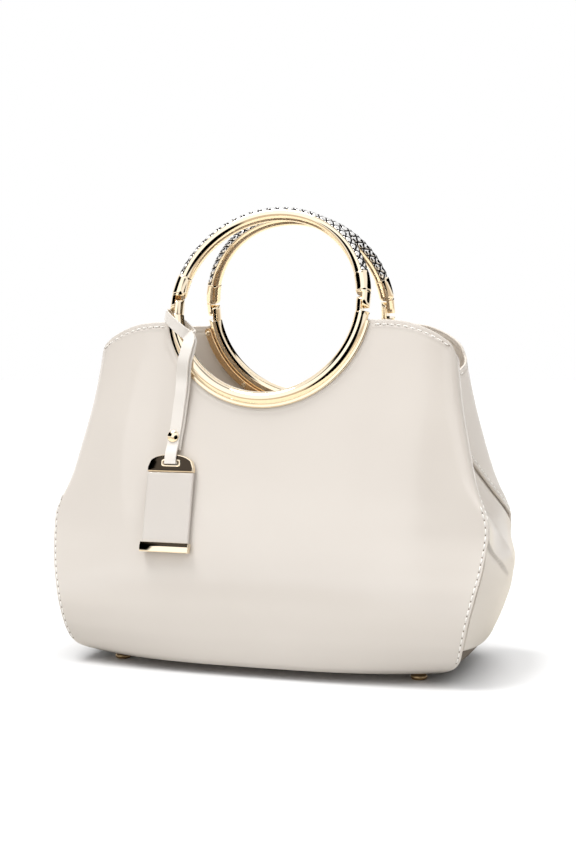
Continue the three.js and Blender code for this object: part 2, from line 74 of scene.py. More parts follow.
# ------------------------------------------------------------------ dimensions, the same as the solids'
LEATHER = 2.0
DECK_Z = 6.0
CORNER_Z, SEAM_APEX_Z, FOLD_TOP_Z, VALLEY_TOP_Z = 97.0, 150.0, 209.0, 196.0
HINGE_Z, HINGE_Y, LOWER_TILT, UPPER_TILT = 243.0, 34.5, 13.0, 19.5
RING_R, TUBE_R, LIP_R, CUT_R = 64.9, 4.7, 71.4, 70.1
FERRULE_DEG, LAP_CLEAR, START_DEG = 17.6, 5.3, 5.6
FRAME_CLEAR, FRAME_START_DEG, FERRULE_STEP = 7.4, 7.2, 0.4
CLAMP_R, CLAMP_HALF = 70.8, 2.4

BODY = {
    "z": [6, 8.5, 12, 18, 28, 42, 58, 75, 97, 120, 150, 180, 209, 232],
    "width": [118, 125, 130.5, 134.5, 137, 140, 143.7, 147.5, 150, 144.6, 138.2, 132.4, 129, 127],
    "depth": [50, 53, 57, 61, 65, 66.5, 64, 58.5, 51.5, 48.5, 41.6, 34.8, 29, 26],
    "middle": [70, 71, 72, 73.2, 74.4, 75, 74.4, 72.4, 68.2, 62.9, 56, 49.05, 42.35, 37.05],
    "side": [119, 127, 133, 139, 145, 151, 156, 158, 145, 132, 123, 118, 116, 115],
    "trim": [0, 0, 0, 0, 0, 0, 0, 0.3, 0.6, 0.8, 2, 2.8, 4.5, 5],
}
TOP_EDGE_X = [69.1, 80, 91, 102, 112, 120]
TOP_EDGE_Z = [231, 231, 230, 227, 222.5, 217.4]


def monotone(xs, ys, x):
    xs, ys = np.asarray(xs, float), np.asarray(ys, float)
    h = np.diff(xs)
    s = np.diff(ys) / h
    m = np.zeros_like(ys)
    m[0], m[-1] = s[0], s[-1]
    prod = s[:-1] * s[1:]
    tot = np.where(np.abs(s[:-1] + s[1:]) < 1e-12, 1.0, s[:-1] + s[1:])
    m[1:-1] = np.where(prod > 0, 2 * prod / tot, 0.0)
    x = np.clip(np.asarray(x, float), xs[0], xs[-1])
    i = np.clip(np.searchsorted(xs, x, side="right") - 1, 0, len(xs) - 2)
    t = (x - xs[i]) / h[i]
    t2, t3 = t * t, t * t * t
    return ((2 * t3 - 3 * t2 + 1) * ys[i] + (t3 - 2 * t2 + t) * h[i] * m[i]
            + (-2 * t3 + 3 * t2) * ys[i + 1] + (t3 - t2) * h[i] * m[i + 1])


def along(key, z):
    return monotone(BODY["z"], BODY[key], z)


def smooth(a, b, v):
    f = np.clip((np.asarray(v, float) - a) / (b - a), 0, 1)
    return f * f * (3 - 2 * f)


def bump(x, centre, wide):
    return np.exp(-((np.asarray(x, float) - centre) / wide) ** 2)


def half_width(z, back=False):
    return along("width", z) - (along("trim", z) if back else 0)


def face(s, z, back=False):
    s, z = np.broadcast_arrays(np.asarray(s, float), np.asarray(z, float))
    middle, fold = along("middle", z), along("depth", z)
    trim = along("trim", z) if back else np.zeros_like(z)
    power = 3.0 + 2.0 * smooth(110, 175, z)
    a = np.abs(s)
    x = s * along("width", z) - np.sign(s) * trim * np.clip((a - 0.64) / 0.36, 0, 1) ** 1.5
    return np.stack([x, -(middle - (middle - fold) * a ** power), z], -1)


def side(v, z, back=False):
    v, z = np.broadcast_arrays(np.asarray(v, float), np.asarray(z, float))
    w, reach = half_width(z, back), along("side", z)
    e = smooth(62, 97, z)
    shape = (1 - (1 - v) ** 2) * (1 - e) + v * e
    return np.stack([w + (reach - w) * shape, -along("depth", z) * (1 - v), z], -1)


def seam_z(v):
    return CORNER_Z + (SEAM_APEX_Z - CORNER_Z) * np.asarray(v, float)


def wing_top(v):
    return VALLEY_TOP_Z + (FOLD_TOP_Z - VALLEY_TOP_Z) * (1 - np.asarray(v, float)) ** 1.6


# ------------------------------------------------------------------ mesh helpers
def add_mesh(name, verts, faces, mats, body="bag", mat_index=None, angle=40, attrs=None):
    me = bpy.data.meshes.new(name)
    me.from_pydata([tuple(v) for v in (np.asarray(verts) * MM)], [], [tuple(int(k) for k in f) for f in faces])
    for m in mats:
        me.materials.append(m)
    if mat_index is not None:
        me.polygons.foreach_set("material_index", np.asarray(mat_index, np.int32))
    me.validate()
    me.update()
    me.polygons.foreach_set("use_smooth", np.ones(len(me.polygons), bool))
    me.set_sharp_from_angle(angle=math.radians(angle))
    for key, values in (attrs or {}).items():
        a = me.attributes.new(key, "FLOAT", "POINT")
        a.data.foreach_set("value", np.asarray(values, np.float32))
    ob = bpy.data.objects.new(name, me)
    bpy.context.collection.objects.link(ob)
    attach(ob, body)
    return ob


def outward(verts, faces):
    """Flip the faces of a closed shell whose volume comes out negative."""
    v = np.asarray(verts, float)
    total = 0.0
    for f in faces:
        a = v[f[0]]
        for i in range(1, len(f) - 1):
            total += np.dot(a, np.cross(v[f[i]], v[f[i + 1]]))
    return [f[::-1] for f in faces] if total < 0 else faces


def sheet(grid, mask, thick, edge_out=0.45, inner_grid=None):
    """Outer grid (ni, nj, 3) to a closed leather shell with rounded edges. Faces are outer 0, inner 1, edge 2."""
    ni, nj = mask.shape
    ids = -np.ones((ni, nj), int)
    ids[mask] = np.arange(mask.sum())
    outer = grid[mask]
    q = mask[:-1, :-1] & mask[1:, :-1] & mask[1:, 1:] & mask[:-1, 1:]
    quads = np.stack([ids[:-1, :-1][q], ids[1:, :-1][q], ids[1:, 1:][q], ids[:-1, 1:][q]], 1)
    fn = np.cross(outer[quads[:, 2]] - outer[quads[:, 0]], outer[quads[:, 3]] - outer[quads[:, 1]])
    n = np.zeros_like(outer)
    for c in range(4):
        np.add.at(n, quads[:, c], fn)
    n /= np.maximum(np.linalg.norm(n, axis=1, keepdims=True), 1e-9)
    th = np.broadcast_to(thick, mask.shape)[mask][:, None] if np.ndim(thick) else thick
    inner = outer - n * th
    edges = {}
    for a, b, c, d in quads:
        for u, v in ((a, b), (b, c), (c, d), (d, a)):
            if (v, u) in edges:
                del edges[(v, u)]
            else:
                edges[(u, v)] = True
    edges = list(edges)
    out_dir = np.zeros_like(outer)
    for u, v in edges:
        e = np.cross(outer[v] - outer[u], (n[u] + n[v]))
        ln = np.linalg.norm(e)
        if ln > 1e-9:
            e /= ln
        out_dir[u] += e
        out_dir[v] += e
    ln = np.linalg.norm(out_dir, axis=1, keepdims=True)
    out_dir = out_dir / np.maximum(ln, 1e-9)
    border = sorted({k for e in edges for k in e})
    N = len(outer)
    verts = [outer, inner]
    rim = {}
    offs = 2 * N
    layers = []
    thv = (th[:, 0] if np.ndim(thick) else np.full(N, float(thick)))
    for depth, push in ((0.14, 0.62), (0.5, 1.0), (0.86, 0.62)):
        layer = np.array([outer[k] - n[k] * thv[k] * depth + out_dir[k] * edge_out * push for k in border])
        verts.append(layer)
        layers.append({k: offs + i for i, k in enumerate(border)})
        offs += len(border)
    faces = [tuple(f) for f in quads] + [(N + a, N + d, N + c, N + b) for a, b, c, d in quads]
    kinds = [0] * len(quads) + [1] * len(quads)
    for u, v in edges:
        chain_u = [u] + [L[u] for L in layers] + [N + u]
        chain_v = [v] + [L[v] for L in layers] + [N + v]
        for i in range(4):
            faces.append((chain_u[i], chain_u[i + 1], chain_v[i + 1], chain_v[i]))
            kinds.append(2)
    return np.concatenate(verts), faces, kinds, n


def loft(sections, closed_path=False):
    """Rings of points joined into a tube with flat ends."""
    s = np.asarray(sections, float)
    m, n = s.shape[:2]
    verts = s.reshape(-1, 3)
    faces = []
    last = m if closed_path else m - 1
    for i in range(last):
        a, b = i * n, ((i + 1) % m) * n
        for j in range(n):
            k = (j + 1) % n
            faces.append((a + j, a + k, b + k, b + j))
    if not closed_path:
        faces.append(tuple(range(n))[::-1])
        faces.append(tuple(range((m - 1) * n, m * n)))
    return verts, outward(verts, faces)


def weld(verts, faces, tol=1e-4):
    keys, first, index = {}, [], []
    for v in verts:
        k = tuple(np.round(v / tol).astype(int))
        if k not in keys:
            keys[k] = len(first)
            first.append(v)
        index.append(keys[k])
    out = []
    for f in faces:
        g = [index[k] for k in f]
        h = [g[i] for i in range(len(g)) if g[i] != g[i - 1]]
        if len(h) >= 3:
            out.append(tuple(h))
    return np.array(first), out


def joined(parts):
    verts, faces, off = [], [], 0
    for v, f in parts:
        verts.append(v)
        faces += [tuple(k + off for k in g) for g in f]
        off += len(v)
    return np.concatenate(verts), faces


def mirrored(part, axis):
    v, f = part
    v = v.copy()
    v[:, axis] *= -1
    return v, [g[::-1] for g in f]


def placed(part, matrix):
    v, f = part
    m = np.array(matrix)
    return v @ m[:3, :3].T + m[:3, 3], f


# ------------------------------------------------------------------ materials
def new_mat(name):
    m = bpy.data.materials.new(name)
    m.use_nodes = True
    nt = m.node_tree
    return m, nt, nt.nodes["Principled BSDF"]


def node(nt, kind, **values):
    n = nt.nodes.new(kind)
    for k, v in values.items():
        if k.startswith("_"):
            setattr(n, k[1:], v)
        else:
            n.inputs[k.replace("__", " ")].default_value = v
    return n


def noise_color(nt, bsdf, low, high, scale, detail=3.0, stretch=(1, 1, 1), pos=(0.3, 0.7)):
    tc = nt.nodes.new("ShaderNodeTexCoord")
    mp = nt.nodes.new("ShaderNodeMapping")
    mp.inputs["Scale"].default_value = stretch
    nz = node(nt, "ShaderNodeTexNoise", Scale=scale, Detail=detail, Roughness=0.55)
    ramp = nt.nodes.new("ShaderNodeValToRGB")
    ramp.color_ramp.elements[0].position, ramp.color_ramp.elements[1].position = pos
    ramp.color_ramp.elements[0].color = (*low, 1)
    ramp.color_ramp.elements[1].color = (*high, 1)
    nt.links.new(tc.outputs["Object"], mp.inputs["Vector"])
    nt.links.new(mp.outputs["Vector"], nz.inputs["Vector"])
    nt.links.new(nz.outputs["Fac"], ramp.inputs["Fac"])
    nt.links.new(ramp.outputs["Color"], bsdf.inputs["Base Color"])
    return mp, nz, ramp


def add_bump(nt, bsdf, vector_from, layers):
    """layers: (scale, strength, distance) noise bumps, chained."""
    prev = None
    for scale, strength, distance in layers:
        nz = node(nt, "ShaderNodeTexNoise", Scale=scale, Detail=2.0, Roughness=0.5)
        nt.links.new(vector_from.outputs["Vector"], nz.inputs["Vector"])
        b = node(nt, "ShaderNodeBump", Strength=strength, Distance=distance)
        nt.links.new(nz.outputs["Fac"], b.inputs["Height"])
        if prev:
            nt.links.new(prev.outputs["Normal"], b.inputs["Normal"])
        prev = b
    nt.links.new(prev.outputs["Normal"], bsdf.inputs["Normal"])


def patent(name, low, high, rough=0.42, coat=0.7, coat_rough=0.07):
    m, nt, b = new_mat(name)
    mp, nz, ramp = noise_color(nt, b, low, high, 9.0)
    b.inputs["Roughness"].default_value = rough
    b.inputs["Coat Weight"].default_value = coat
    b.inputs["Coat Roughness"].default_value = coat_rough
    b.inputs["Specular IOR Level"].default_value = 0.35
    b.inputs["Subsurface Weight"].default_value = 0.0
    add_bump(nt, b, mp, ((26.0, 0.10, 0.0012), (900.0, 0.03, 0.0001)))
    return m


def matte(name, low, high, rough, scale=60.0, bump_scale=700.0, strength=0.15):
    m, nt, b = new_mat(name)
    mp, nz, ramp = noise_color(nt, b, low, high, scale)
    b.inputs["Roughness"].default_value = rough
    add_bump(nt, b, mp, ((bump_scale, strength, 0.0002),))
    return m


def metal(name, low, high, rough):
    m, nt, b = new_mat(name)
    mp, nz, ramp = noise_color(nt, b, low, high, 40.0)
    b.inputs["Metallic"].default_value = 1.0
    b.inputs["Roughness"].default_value = rough
    nz2 = node(nt, "ShaderNodeTexNoise", Scale=120.0, Detail=3.0)
    nt.links.new(mp.outputs["Vector"], nz2.inputs["Vector"])
    mr = node(nt, "ShaderNodeMapRange")
    mr.inputs["To Min"].default_value = max(rough - 0.02, 0.01)
    mr.inputs["To Max"].default_value = rough + 0.03
    nt.links.new(nz2.outputs["Fac"], mr.inputs["Value"])
    nt.links.new(mr.outputs["Result"], b.inputs["Roughness"])
    return m


PATENT = patent("patent_ivory", (0.700, 0.648, 0.592), (0.720, 0.670, 0.615))
GUSSET = patent("patent_ivory_side", (0.690, 0.638, 0.580), (0.710, 0.660, 0.603), coat=0.45, coat_rough=0.2)
# near-black brown for the set-back foot of the gusset: dark brown leather darkened as painted shade of the recess
# under the bag
BASE_SIDE_SHADE = matte("base_side_painted_shade", (0.085, 0.066, 0.050), (0.12, 0.095, 0.075), 0.55, scale=80)
BASE = patent("patent_ivory_base", (0.60, 0.53, 0.46), (0.64, 0.57, 0.50), rough=0.5)
EDGE = matte("leather_edge", (0.64, 0.585, 0.52), (0.69, 0.635, 0.57), 0.5)
LINING = matte("leather_inside", (0.74, 0.67, 0.59), (0.78, 0.715, 0.635), 0.62, scale=20)
THREAD = matte("thread", (0.93, 0.90, 0.85), (0.97, 0.95, 0.92), 0.55, scale=400)
# near-black brown, painted shade inside the stitch holes
HOLE_SHADE = matte("stitch_hole_painted_shade", (0.10, 0.07, 0.05), (0.20, 0.15, 0.11), 0.7, scale=300)
STRAP = patent("strap_leather", (0.80, 0.755, 0.70), (0.84, 0.80, 0.75), rough=0.45, coat=0.35, coat_rough=0.2)
PLATE = patent("tag_leather", (0.655, 0.61, 0.565), (0.68, 0.64, 0.595), rough=0.45, coat=0.5, coat_rough=0.12)
# gold painted near-black: on the tag bar's top bevel it is a painted dark reflection; it also fills the flat front
# face of the tag cap
GOLD_PAINTED_DARK = metal("gold_painted_dark", (0.050, 0.038, 0.027), (0.060, 0.046, 0.033), 0.10)
# gold darkened as painted shade, for the feet under the bag
FOOT_SHADED = metal("foot_gold_painted_shade", (0.42, 0.30, 0.17), (0.48, 0.35, 0.20), 0.28)
# orange-brown standing for the gold-lit side of the strap loop, painted light; no mesh uses it
STRAP_SIDE_LIT = matte("strap_side_painted_light", (0.62, 0.44, 0.31), (0.72, 0.55, 0.41), 0.6)
GOLD = metal("pale_gold", (0.93, 0.80, 0.60), (0.955, 0.83, 0.645), 0.04)
# a deeper, darker copy of the gold: painted shade for the clamps and hinge pins, which sit inside the rings
GOLD_SHADED = metal("gold_painted_shade", (0.90, 0.62, 0.34), (0.95, 0.70, 0.42), 0.22)


def silver_scales():
    m, nt, b = new_mat("silver_scales")
    at = nt.nodes.new("ShaderNodeAttribute")
    at.attribute_name = "groove"
    ramp = nt.nodes.new("ShaderNodeValToRGB")
    ramp.color_ramp.elements[0].position, ramp.color_ramp.elements[1].position = 0.35, 0.75
    ramp.color_ramp.elements[0].color = (0.86, 0.85, 0.84, 1)
    ramp.color_ramp.elements[1].color = (0.012, 0.010, 0.010, 1)
    nt.links.new(at.outputs["Fac"], ramp.inputs["Fac"])
    nt.links.new(ramp.outputs["Color"], b.inputs["Base Color"])
    b.inputs["Metallic"].default_value = 1.0
    mr = node(nt, "ShaderNodeMapRange")
    mr.inputs["To Min"].default_value = 0.12
    mr.inputs["To Max"].default_value = 0.5
    nt.links.new(at.outputs["Fac"], mr.inputs["Value"])
    nt.links.new(mr.outputs["Result"], b.inputs["Roughness"])
    return m


SILVER = silver_scales()

# ------------------------------------------------------------------ leather panels
ARC_MAX = 80.2
TOP_ROW, SIDE_ROW, DROP = 3.0, 1.8, -0.5


def hem(d, depth=0.22, row=3.0, rise=0.22):
    """Turned hem beside a free edge: raised band, with a groove under the stitch row."""
    return rise * (1 - smooth(row + 1.2, row + 3.2, d)) - depth * bump(d, row, 0.6)


def face_relief(x, z, back):
    """Slow waves of the stiff leather, outward positive."""
    a = np.abs(x)
    lean = 1 if not back else -1
    r = 1.0 * bump(a, 104, 17) * bump(z, 150, 60)
    r = r - 0.9 * bump(a, 78, 13) * bump(z, 150, 55)
    r = r + 0.8 * bump(x * lean, -60, 26) * bump(z, 70, 45)
    r = r - 0.6 * bump(x * lean, 20, 40) * bump(z, 40, 26)
    r = r + 0.5 * bump(x * lean, 62, 22) * bump(z, 95, 60)
    return r


def panel(name, back):
    near = np.array([0.0, 0.5, 1.0, 1.6, 2.2, 2.7, 3.1, 3.5, 3.9, 4.3, 4.9, 5.6, 6.5, 7.5])
    # rows: below the widest corners by height, above them by share of the way to the top
    low_rows = np.concatenate([DECK_Z + np.array([0, 0.6, 1.3, 2.1, 3.0, 4.2, 5.5, 7.2]), np.linspace(15.2, CORNER_Z, 54)])
    k = len(low_rows) - 1
    low_share = near / 112.0
    top_gap = near[::-1] / 112.0
    rows = np.concatenate([low_share, np.linspace(low_share[-1], 1 - top_gap[0], 42)[1:-1], 1 - top_gap])
    nr = k + len(rows)

    cols = []  # (low s, top s, top z) for the face
    arc = np.concatenate([np.linspace(0, 72, 26), np.linspace(72, ARC_MAX, 7)[1:]])
    for d in arc:
        x = CUT_R * math.sin(math.radians(d))
        zt = HINGE_Z - CUT_R * math.cos(math.radians(d)) * math.cos(math.radians(LOWER_TILT))
        cols.append((math.sin(math.radians(d)) * 0.545 / math.sin(math.radians(ARC_MAX)), x / float(half_width(zt)), zt))
    for x in np.linspace(69.1, 120, 22)[1:]:
        zt = float(np.interp(x, TOP_EDGE_X, TOP_EDGE_Z)) if x < 80 else float(monotone(TOP_EDGE_X, TOP_EDGE_Z, x))
        cols.append((0.545 + (0.93 - 0.545) * (x - 69.1) / 50.9, x / float(half_width(zt)), zt))
    # from the last free column to the rounding of the fold
    lo_end, hi_end = 0.93, cols[-1][1]
    fine = np.concatenate([np.linspace(0, 0.62, 7)[1:], 1 - (1 - 0.62) * np.linspace(1, 0, 12)[1:-1] ** 1.3, [1.0]])
    for f in fine:
        sl = lo_end + (1 - lo_end) * f
        st = hi_end + (1 - hi_end) * f
        zt = TOP_EDGE_Z[-1] + (FOLD_TOP_Z - TOP_EDGE_Z[-1]) * (f * 0.55 + 0.45 * f * f)
        cols.append((sl, st, zt))
    n_face = len(cols)
    bez = np.linspace(0.5, 1.0, 6)[1:]
    vs = np.array([0.08, 0.17, 0.26, 0.35, 0.44, 0.53, 0.62, 0.71, 0.80, 0.88, 0.95, 1.0])
    nc = n_face + len(bez) + len(vs)
    grid = np.zeros((nc, nr, 3))
    mask = np.zeros((nc, nr), bool)

    def radius(z):
        return np.maximum(0.8, 12.0 * smooth(97, 132, z))

    def column(i, s, z, dtop):
        """Face point with the fold's rounding, waves and hems."""
        p = face(s, z, back)
        w = along("width", z)
        r = radius(z)
        away = (1 - s) * w  # distance from the fold line
        # inside the rounding the point slides along a quadratic curve through the fold
        t = np.clip((r - away) / (2 * r), 0, 0.5)
        a = face(1 - r / w, z, back)
        f0 = face(np.ones_like(z), z, back)
        up = z >= CORNER_Z
        b = np.where(up[:, None], side(np.clip(r / along("depth", z), 0, 1), z, back), f0)
        curve = ((1 - t) ** 2)[:, None] * a + (2 * t * (1 - t))[:, None] * f0 + (t ** 2)[:, None] * b
        p = np.where((away < r)[:, None], curve, p)
        relief = face_relief(p[:, 0], z, back) * smooth(0, 9, dtop) * smooth(0, 14, away) * smooth(6, 20, z)
        relief = relief + hem(dtop)
        relief = relief + np.where(z < 118, hem(away, 0.2, SIDE_ROW, 0.08), 0) * smooth(4, 14, z) * (1 - smooth(100, 116, z))
        relief = relief - 1.3 * (1 - smooth(0, 4.5, z - DECK_Z)) ** 2
        p[:, 1] -= relief
        p[:, 2] -= DROP * (1 - smooth(0, 9, z - DECK_Z))
        return p

    for i, (sl, st, zt) in enumerate(cols):
        z = np.concatenate([low_rows, CORNER_Z + (zt - CORNER_Z) * rows[1:]])
        f = np.concatenate([np.zeros(k + 1), rows[1:]])
        s = sl + (st - sl) * f
        dtop = np.abs(zt - z)
        if i < len(arc):
            x = s * along("width", z)
            dz = (HINGE_Z - z) / math.cos(math.radians(LOWER_TILT))
            dtop = np.abs(np.hypot(x, dz) - CUT_R)
        grid[i] = column(i, s, z, dtop)
        mask[i] = True
    # the fold's outer half of the rounding, and the wing
    def turn_end(z):
        return np.clip(radius(z) / along("depth", z), 0.12, 0.9)

    for j, t in enumerate(bez):
        # heights follow the seam at the place where this column meets the side
        v_at = 0.12 * (t - 0.5) / 0.5
        zb, zt = float(seam_z(v_at)), float(wing_top(float(turn_end(204.0)) * (t - 0.5) / 0.5))
        z = zb + (zt - zb) * rows
        r = radius(z)
        w = along("width", z)
        a = face(1 - r / w, z, back)
        f0 = face(np.ones_like(z), z, back)
        b = side(np.clip(r / along("depth", z), 0, 1), z, back)
        p = ((1 - t) ** 2) * a + (2 * t * (1 - t)) * f0 + (t ** 2) * b
        # where the rounding is small the column runs on down the side
        vv = np.maximum(v_at, 0)
        q = side(np.full_like(z, vv), z, back)
        use = np.clip((v_at * along("depth", z) - r * (t - 0.5) * 2) / 3.0, 0, 1)[:, None]
        p = p * (1 - use) + q * use
        n_out = np.array([1.0, 0.15, 0.2]) / 1.03
        h = hem((z - zb) * 0.9) + hem(zt - z)
        p = p + n_out * h[:, None]
        grid[n_face + j, k:] = p
        mask[n_face + j, k:] = True
    for j, v in enumerate(vs):
        zb, zt = 120.0, 204.0
        for _ in range(12):
            zb = float(seam_z(turn_end(zb) + v * (1 - turn_end(zb))))
            zt = float(wing_top(turn_end(zt) + v * (1 - turn_end(zt))))
        z = zb + (zt - zb) * rows
        vv = turn_end(z) + v * (1 - turn_end(z))
        if v == 1.0:
            vv = 1 - 0.25 / along("depth", z)
        p = side(vv, z, back)
        n_out = np.array([0.9, 0.38, 0.2])
        h = hem((z - zb) * 0.7) + hem(zt - z)
        p = p + n_out * h[:, None]
        grid[n_face + len(bez) + j, k:] = p
        mask[n_face + len(bez) + j, k:] = True
    full = np.concatenate([grid[1:][::-1] * np.array([-1, 1, 1]), grid])
    fmask = np.concatenate([mask[1:][::-1], mask])
    v, f, kinds, n = sheet(full, fmask, 1.8)
    if back:
        v, f = mirrored((v, f), 1)
    ob = add_mesh(name, v, f, [PATENT, LINING, EDGE], mat_index=kinds, angle=50)
    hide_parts(name)
    return ob


def crease_z(y):
    return 61 + 31 * np.clip(np.abs(y) / 52, 0, 1.2) ** 1.35


def gusset(name, sign):
    inset = LEATHER + 0.4
    share = np.concatenate([-1 + np.array([0, 0.012, 0.025, 0.04, 0.06]), np.linspace(-0.92, 0.92, 92), 1 - np.array([0.06, 0.04, 0.025, 0.012, 0])])
    rows = np.concatenate([[0, 0.005, 0.01, 0.018], np.linspace(0.026, 0.14, 44)[:-1], np.linspace(0.14, 1, 110)])
    grid = np.zeros((len(share), len(rows), 3))
    lower = np.zeros((len(share), len(rows)), bool)
    for i, sh in enumerate(share):
        v_edge = 1 - abs(sh) * 0.955
        top = float(seam_z(v_edge)) + 3.5
        z = DECK_Z + (top - DECK_Z) * rows
        depth = along("depth", z)
        y = sh * (depth - inset)
        v = 1 - np.abs(y) / depth
        p = side(v, z, sh > 0)
        p[:, 1] = y
        y = np.broadcast_to(y, z.shape)
        d = z - crease_z(y)
        strength = smooth(0.12, 0.55, abs(sh))
        step = smooth(-0.8, 0.8, d)
        rel = (0.8 * np.exp(-np.abs(d) / 11) * step - 1.2 * np.exp(-np.abs(d) / 7) * (1 - step)) * strength
        # under the wing the gusset steps in
        under = smooth(9, 1.5, float(seam_z(v_edge)) - z)
        rel = rel - 2.5 * under
        # the lower edge ends above a set-back strip standing for the side of the base, drawn near-black: dark brown
        # leather darkened as painted shade of the recess under the bag
        edge_z = 21.0 + 3.0 * (abs(float(y[0])) / 44) ** 2.2
        rel = rel + 0.35 * bump(z, edge_z + 0.7, 0.8) - 1.9 * (1 - smooth(-0.35, 0.35, z - edge_z))
        lower[i] = z < edge_z
        p[:, 0] += rel
        p[:, 0] -= 1.2 * (1 - smooth(0, 5, z - DECK_Z)) ** 2
        grid[i] = p
    v, f, kinds, n = sheet(grid, np.ones(grid.shape[:2], bool), 1.8)
    # rows under the lower edge take the near-black painted-shade material
    q = np.stack([lower[:-1, :-1], lower[1:, :-1], lower[1:, 1:], lower[:-1, 1:]], -1).sum(-1) >= 2
    kinds = np.array(kinds)
    kinds[:q.size][q.reshape(-1)] = 3
    if sign < 0:
        v, f = mirrored((v, f), 0)
    ob = add_mesh(name, v, f, [GUSSET, LINING, EDGE, BASE_SIDE_SHADE], mat_index=kinds, angle=60)
    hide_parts(name)
    return ob


panel("front_panel", False).name = "front_panel_leather"
panel("back_panel", True).name = "back_panel_leather"
gusset("right_gusset", 1).name = "right_gusset_leather"
gusset("left_gusset", -1).name = "left_gusset_leather"


def base():
    inset = LEATHER + 0.7
    s = np.linspace(-1, 1, 61)
    w = 118 - inset
    edge = 70 - 20 * np.abs(s) ** 3 - inset - 0.2
    ring = np.concatenate([np.stack([s * w, -edge], 1), np.stack([s[::-1] * w, edge[::-1]], 1)])
    layers = []
    for z, shrink in ((DECK_Z + 0.7, 2.2), (DECK_Z + 0.15, 1.2), (DECK_Z, 0.0), (DECK_Z + 1.2, -0.3), (DECK_Z + 2.2, 0.1), (DECK_Z + 2.4, 1.0)):
        k = 1 - shrink / 100
        layers.append(np.concatenate([ring * k, np.full((len(ring), 1), z - DROP + 0.2)], 1))
    ob = add_mesh("base_leather", *loft(layers), [BASE], angle=30)
    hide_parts("base_panel")


base()


# ------------------------------------------------------------------ stitches
def stitch_run(points, normals, pitch=4.7, length=3.4, r=0.46, start=0.0):
    """Rounded thread stitches along a path, with a small dark disc at each end as the painted shade of the stitch
    hole.
    """
    points, normals = np.asarray(points, float), np.asarray(normals, float)
    seg = np.linalg.norm(np.diff(points, axis=0), axis=1)
    dist = np.concatenate([[0], np.cumsum(seg)])
    at = np.arange(start + pitch / 2, dist[-1] - pitch / 2, pitch)

    def sample(d):
        return (np.stack([np.interp(d, dist, points[:, c]) for c in range(3)], -1),
                np.stack([np.interp(d, dist, normals[:, c]) for c in range(3)], -1))

    sv, sf, hv, hf = [], [], [], []
    ring = np.radians(np.arange(0, 360, 60))
    for d in at:
        off = len(sv) and sum(len(x) for x in sv)
        prev = []
        for t, rad in ((-0.5, 0.25), (-0.38, 0.8), (-0.1, 1.0), (0.2, 1.0), (0.4, 0.75), (0.5, 0.25)):
            p, n = sample(d + t * length)
            n = n / np.linalg.norm(n)
            q, _ = sample(d + t * length + 0.05)
            tangent = (q - p) / max(np.linalg.norm(q - p), 1e-9)
            b = np.cross(n, tangent)
            lift = 0.24 * (1 - (2 * t) ** 2) - 0.04
            prev.append(p + n * lift + (np.cos(ring)[:, None] * b + np.sin(ring)[:, None] * n) * r * rad)
        v, f = loft(prev)
        sv.append(v)
        sf += [tuple(k + off for k in g) for g in f]
        # a dark disc laid just over the surface, painted shade of the stitch hole
        hoff = len(hv) and sum(len(x) for x in hv)
        p, n = sample(d + pitch / 2)
        n = n / np.linalg.norm(n)
        q, _ = sample(d + pitch / 2 + 0.05)
        tangent = (q - p) / max(np.linalg.norm(q - p), 1e-9)
        b = np.cross(n, tangent)
        hr = np.radians(np.arange(0, 360, 45))
        disc = p + n * 0.03 + (np.cos(hr)[:, None] * b + np.sin(hr)[:, None] * tangent) * 0.40
        low = p - n * 0.5 + (np.cos(hr)[:, None] * b + np.sin(hr)[:, None] * tangent) * 0.2
        v, f = loft([low, disc])
        hv.append(v)
        hf += [tuple(k + hoff for k in g) for g in f]
    return (np.concatenate(sv), sf), (np.concatenate(hv), hf)


def path_on(fn, params, sign_y=1, lift=0.0):
    """Points and outward normals of a surface function along a list of (u, z)."""
    pts, nrm = [], []
    for u, z in params:
        p = fn(u, z)
        du = fn(u + 0.004, z) - p
        dz = fn(u, z + 0.5) - p
        n = np.cross(du, dz)
        n /= max(np.linalg.norm(n), 1e-9)
        pts.append(p + n * lift)
        nrm.append(n)
    return np.array(pts), np.array(nrm)


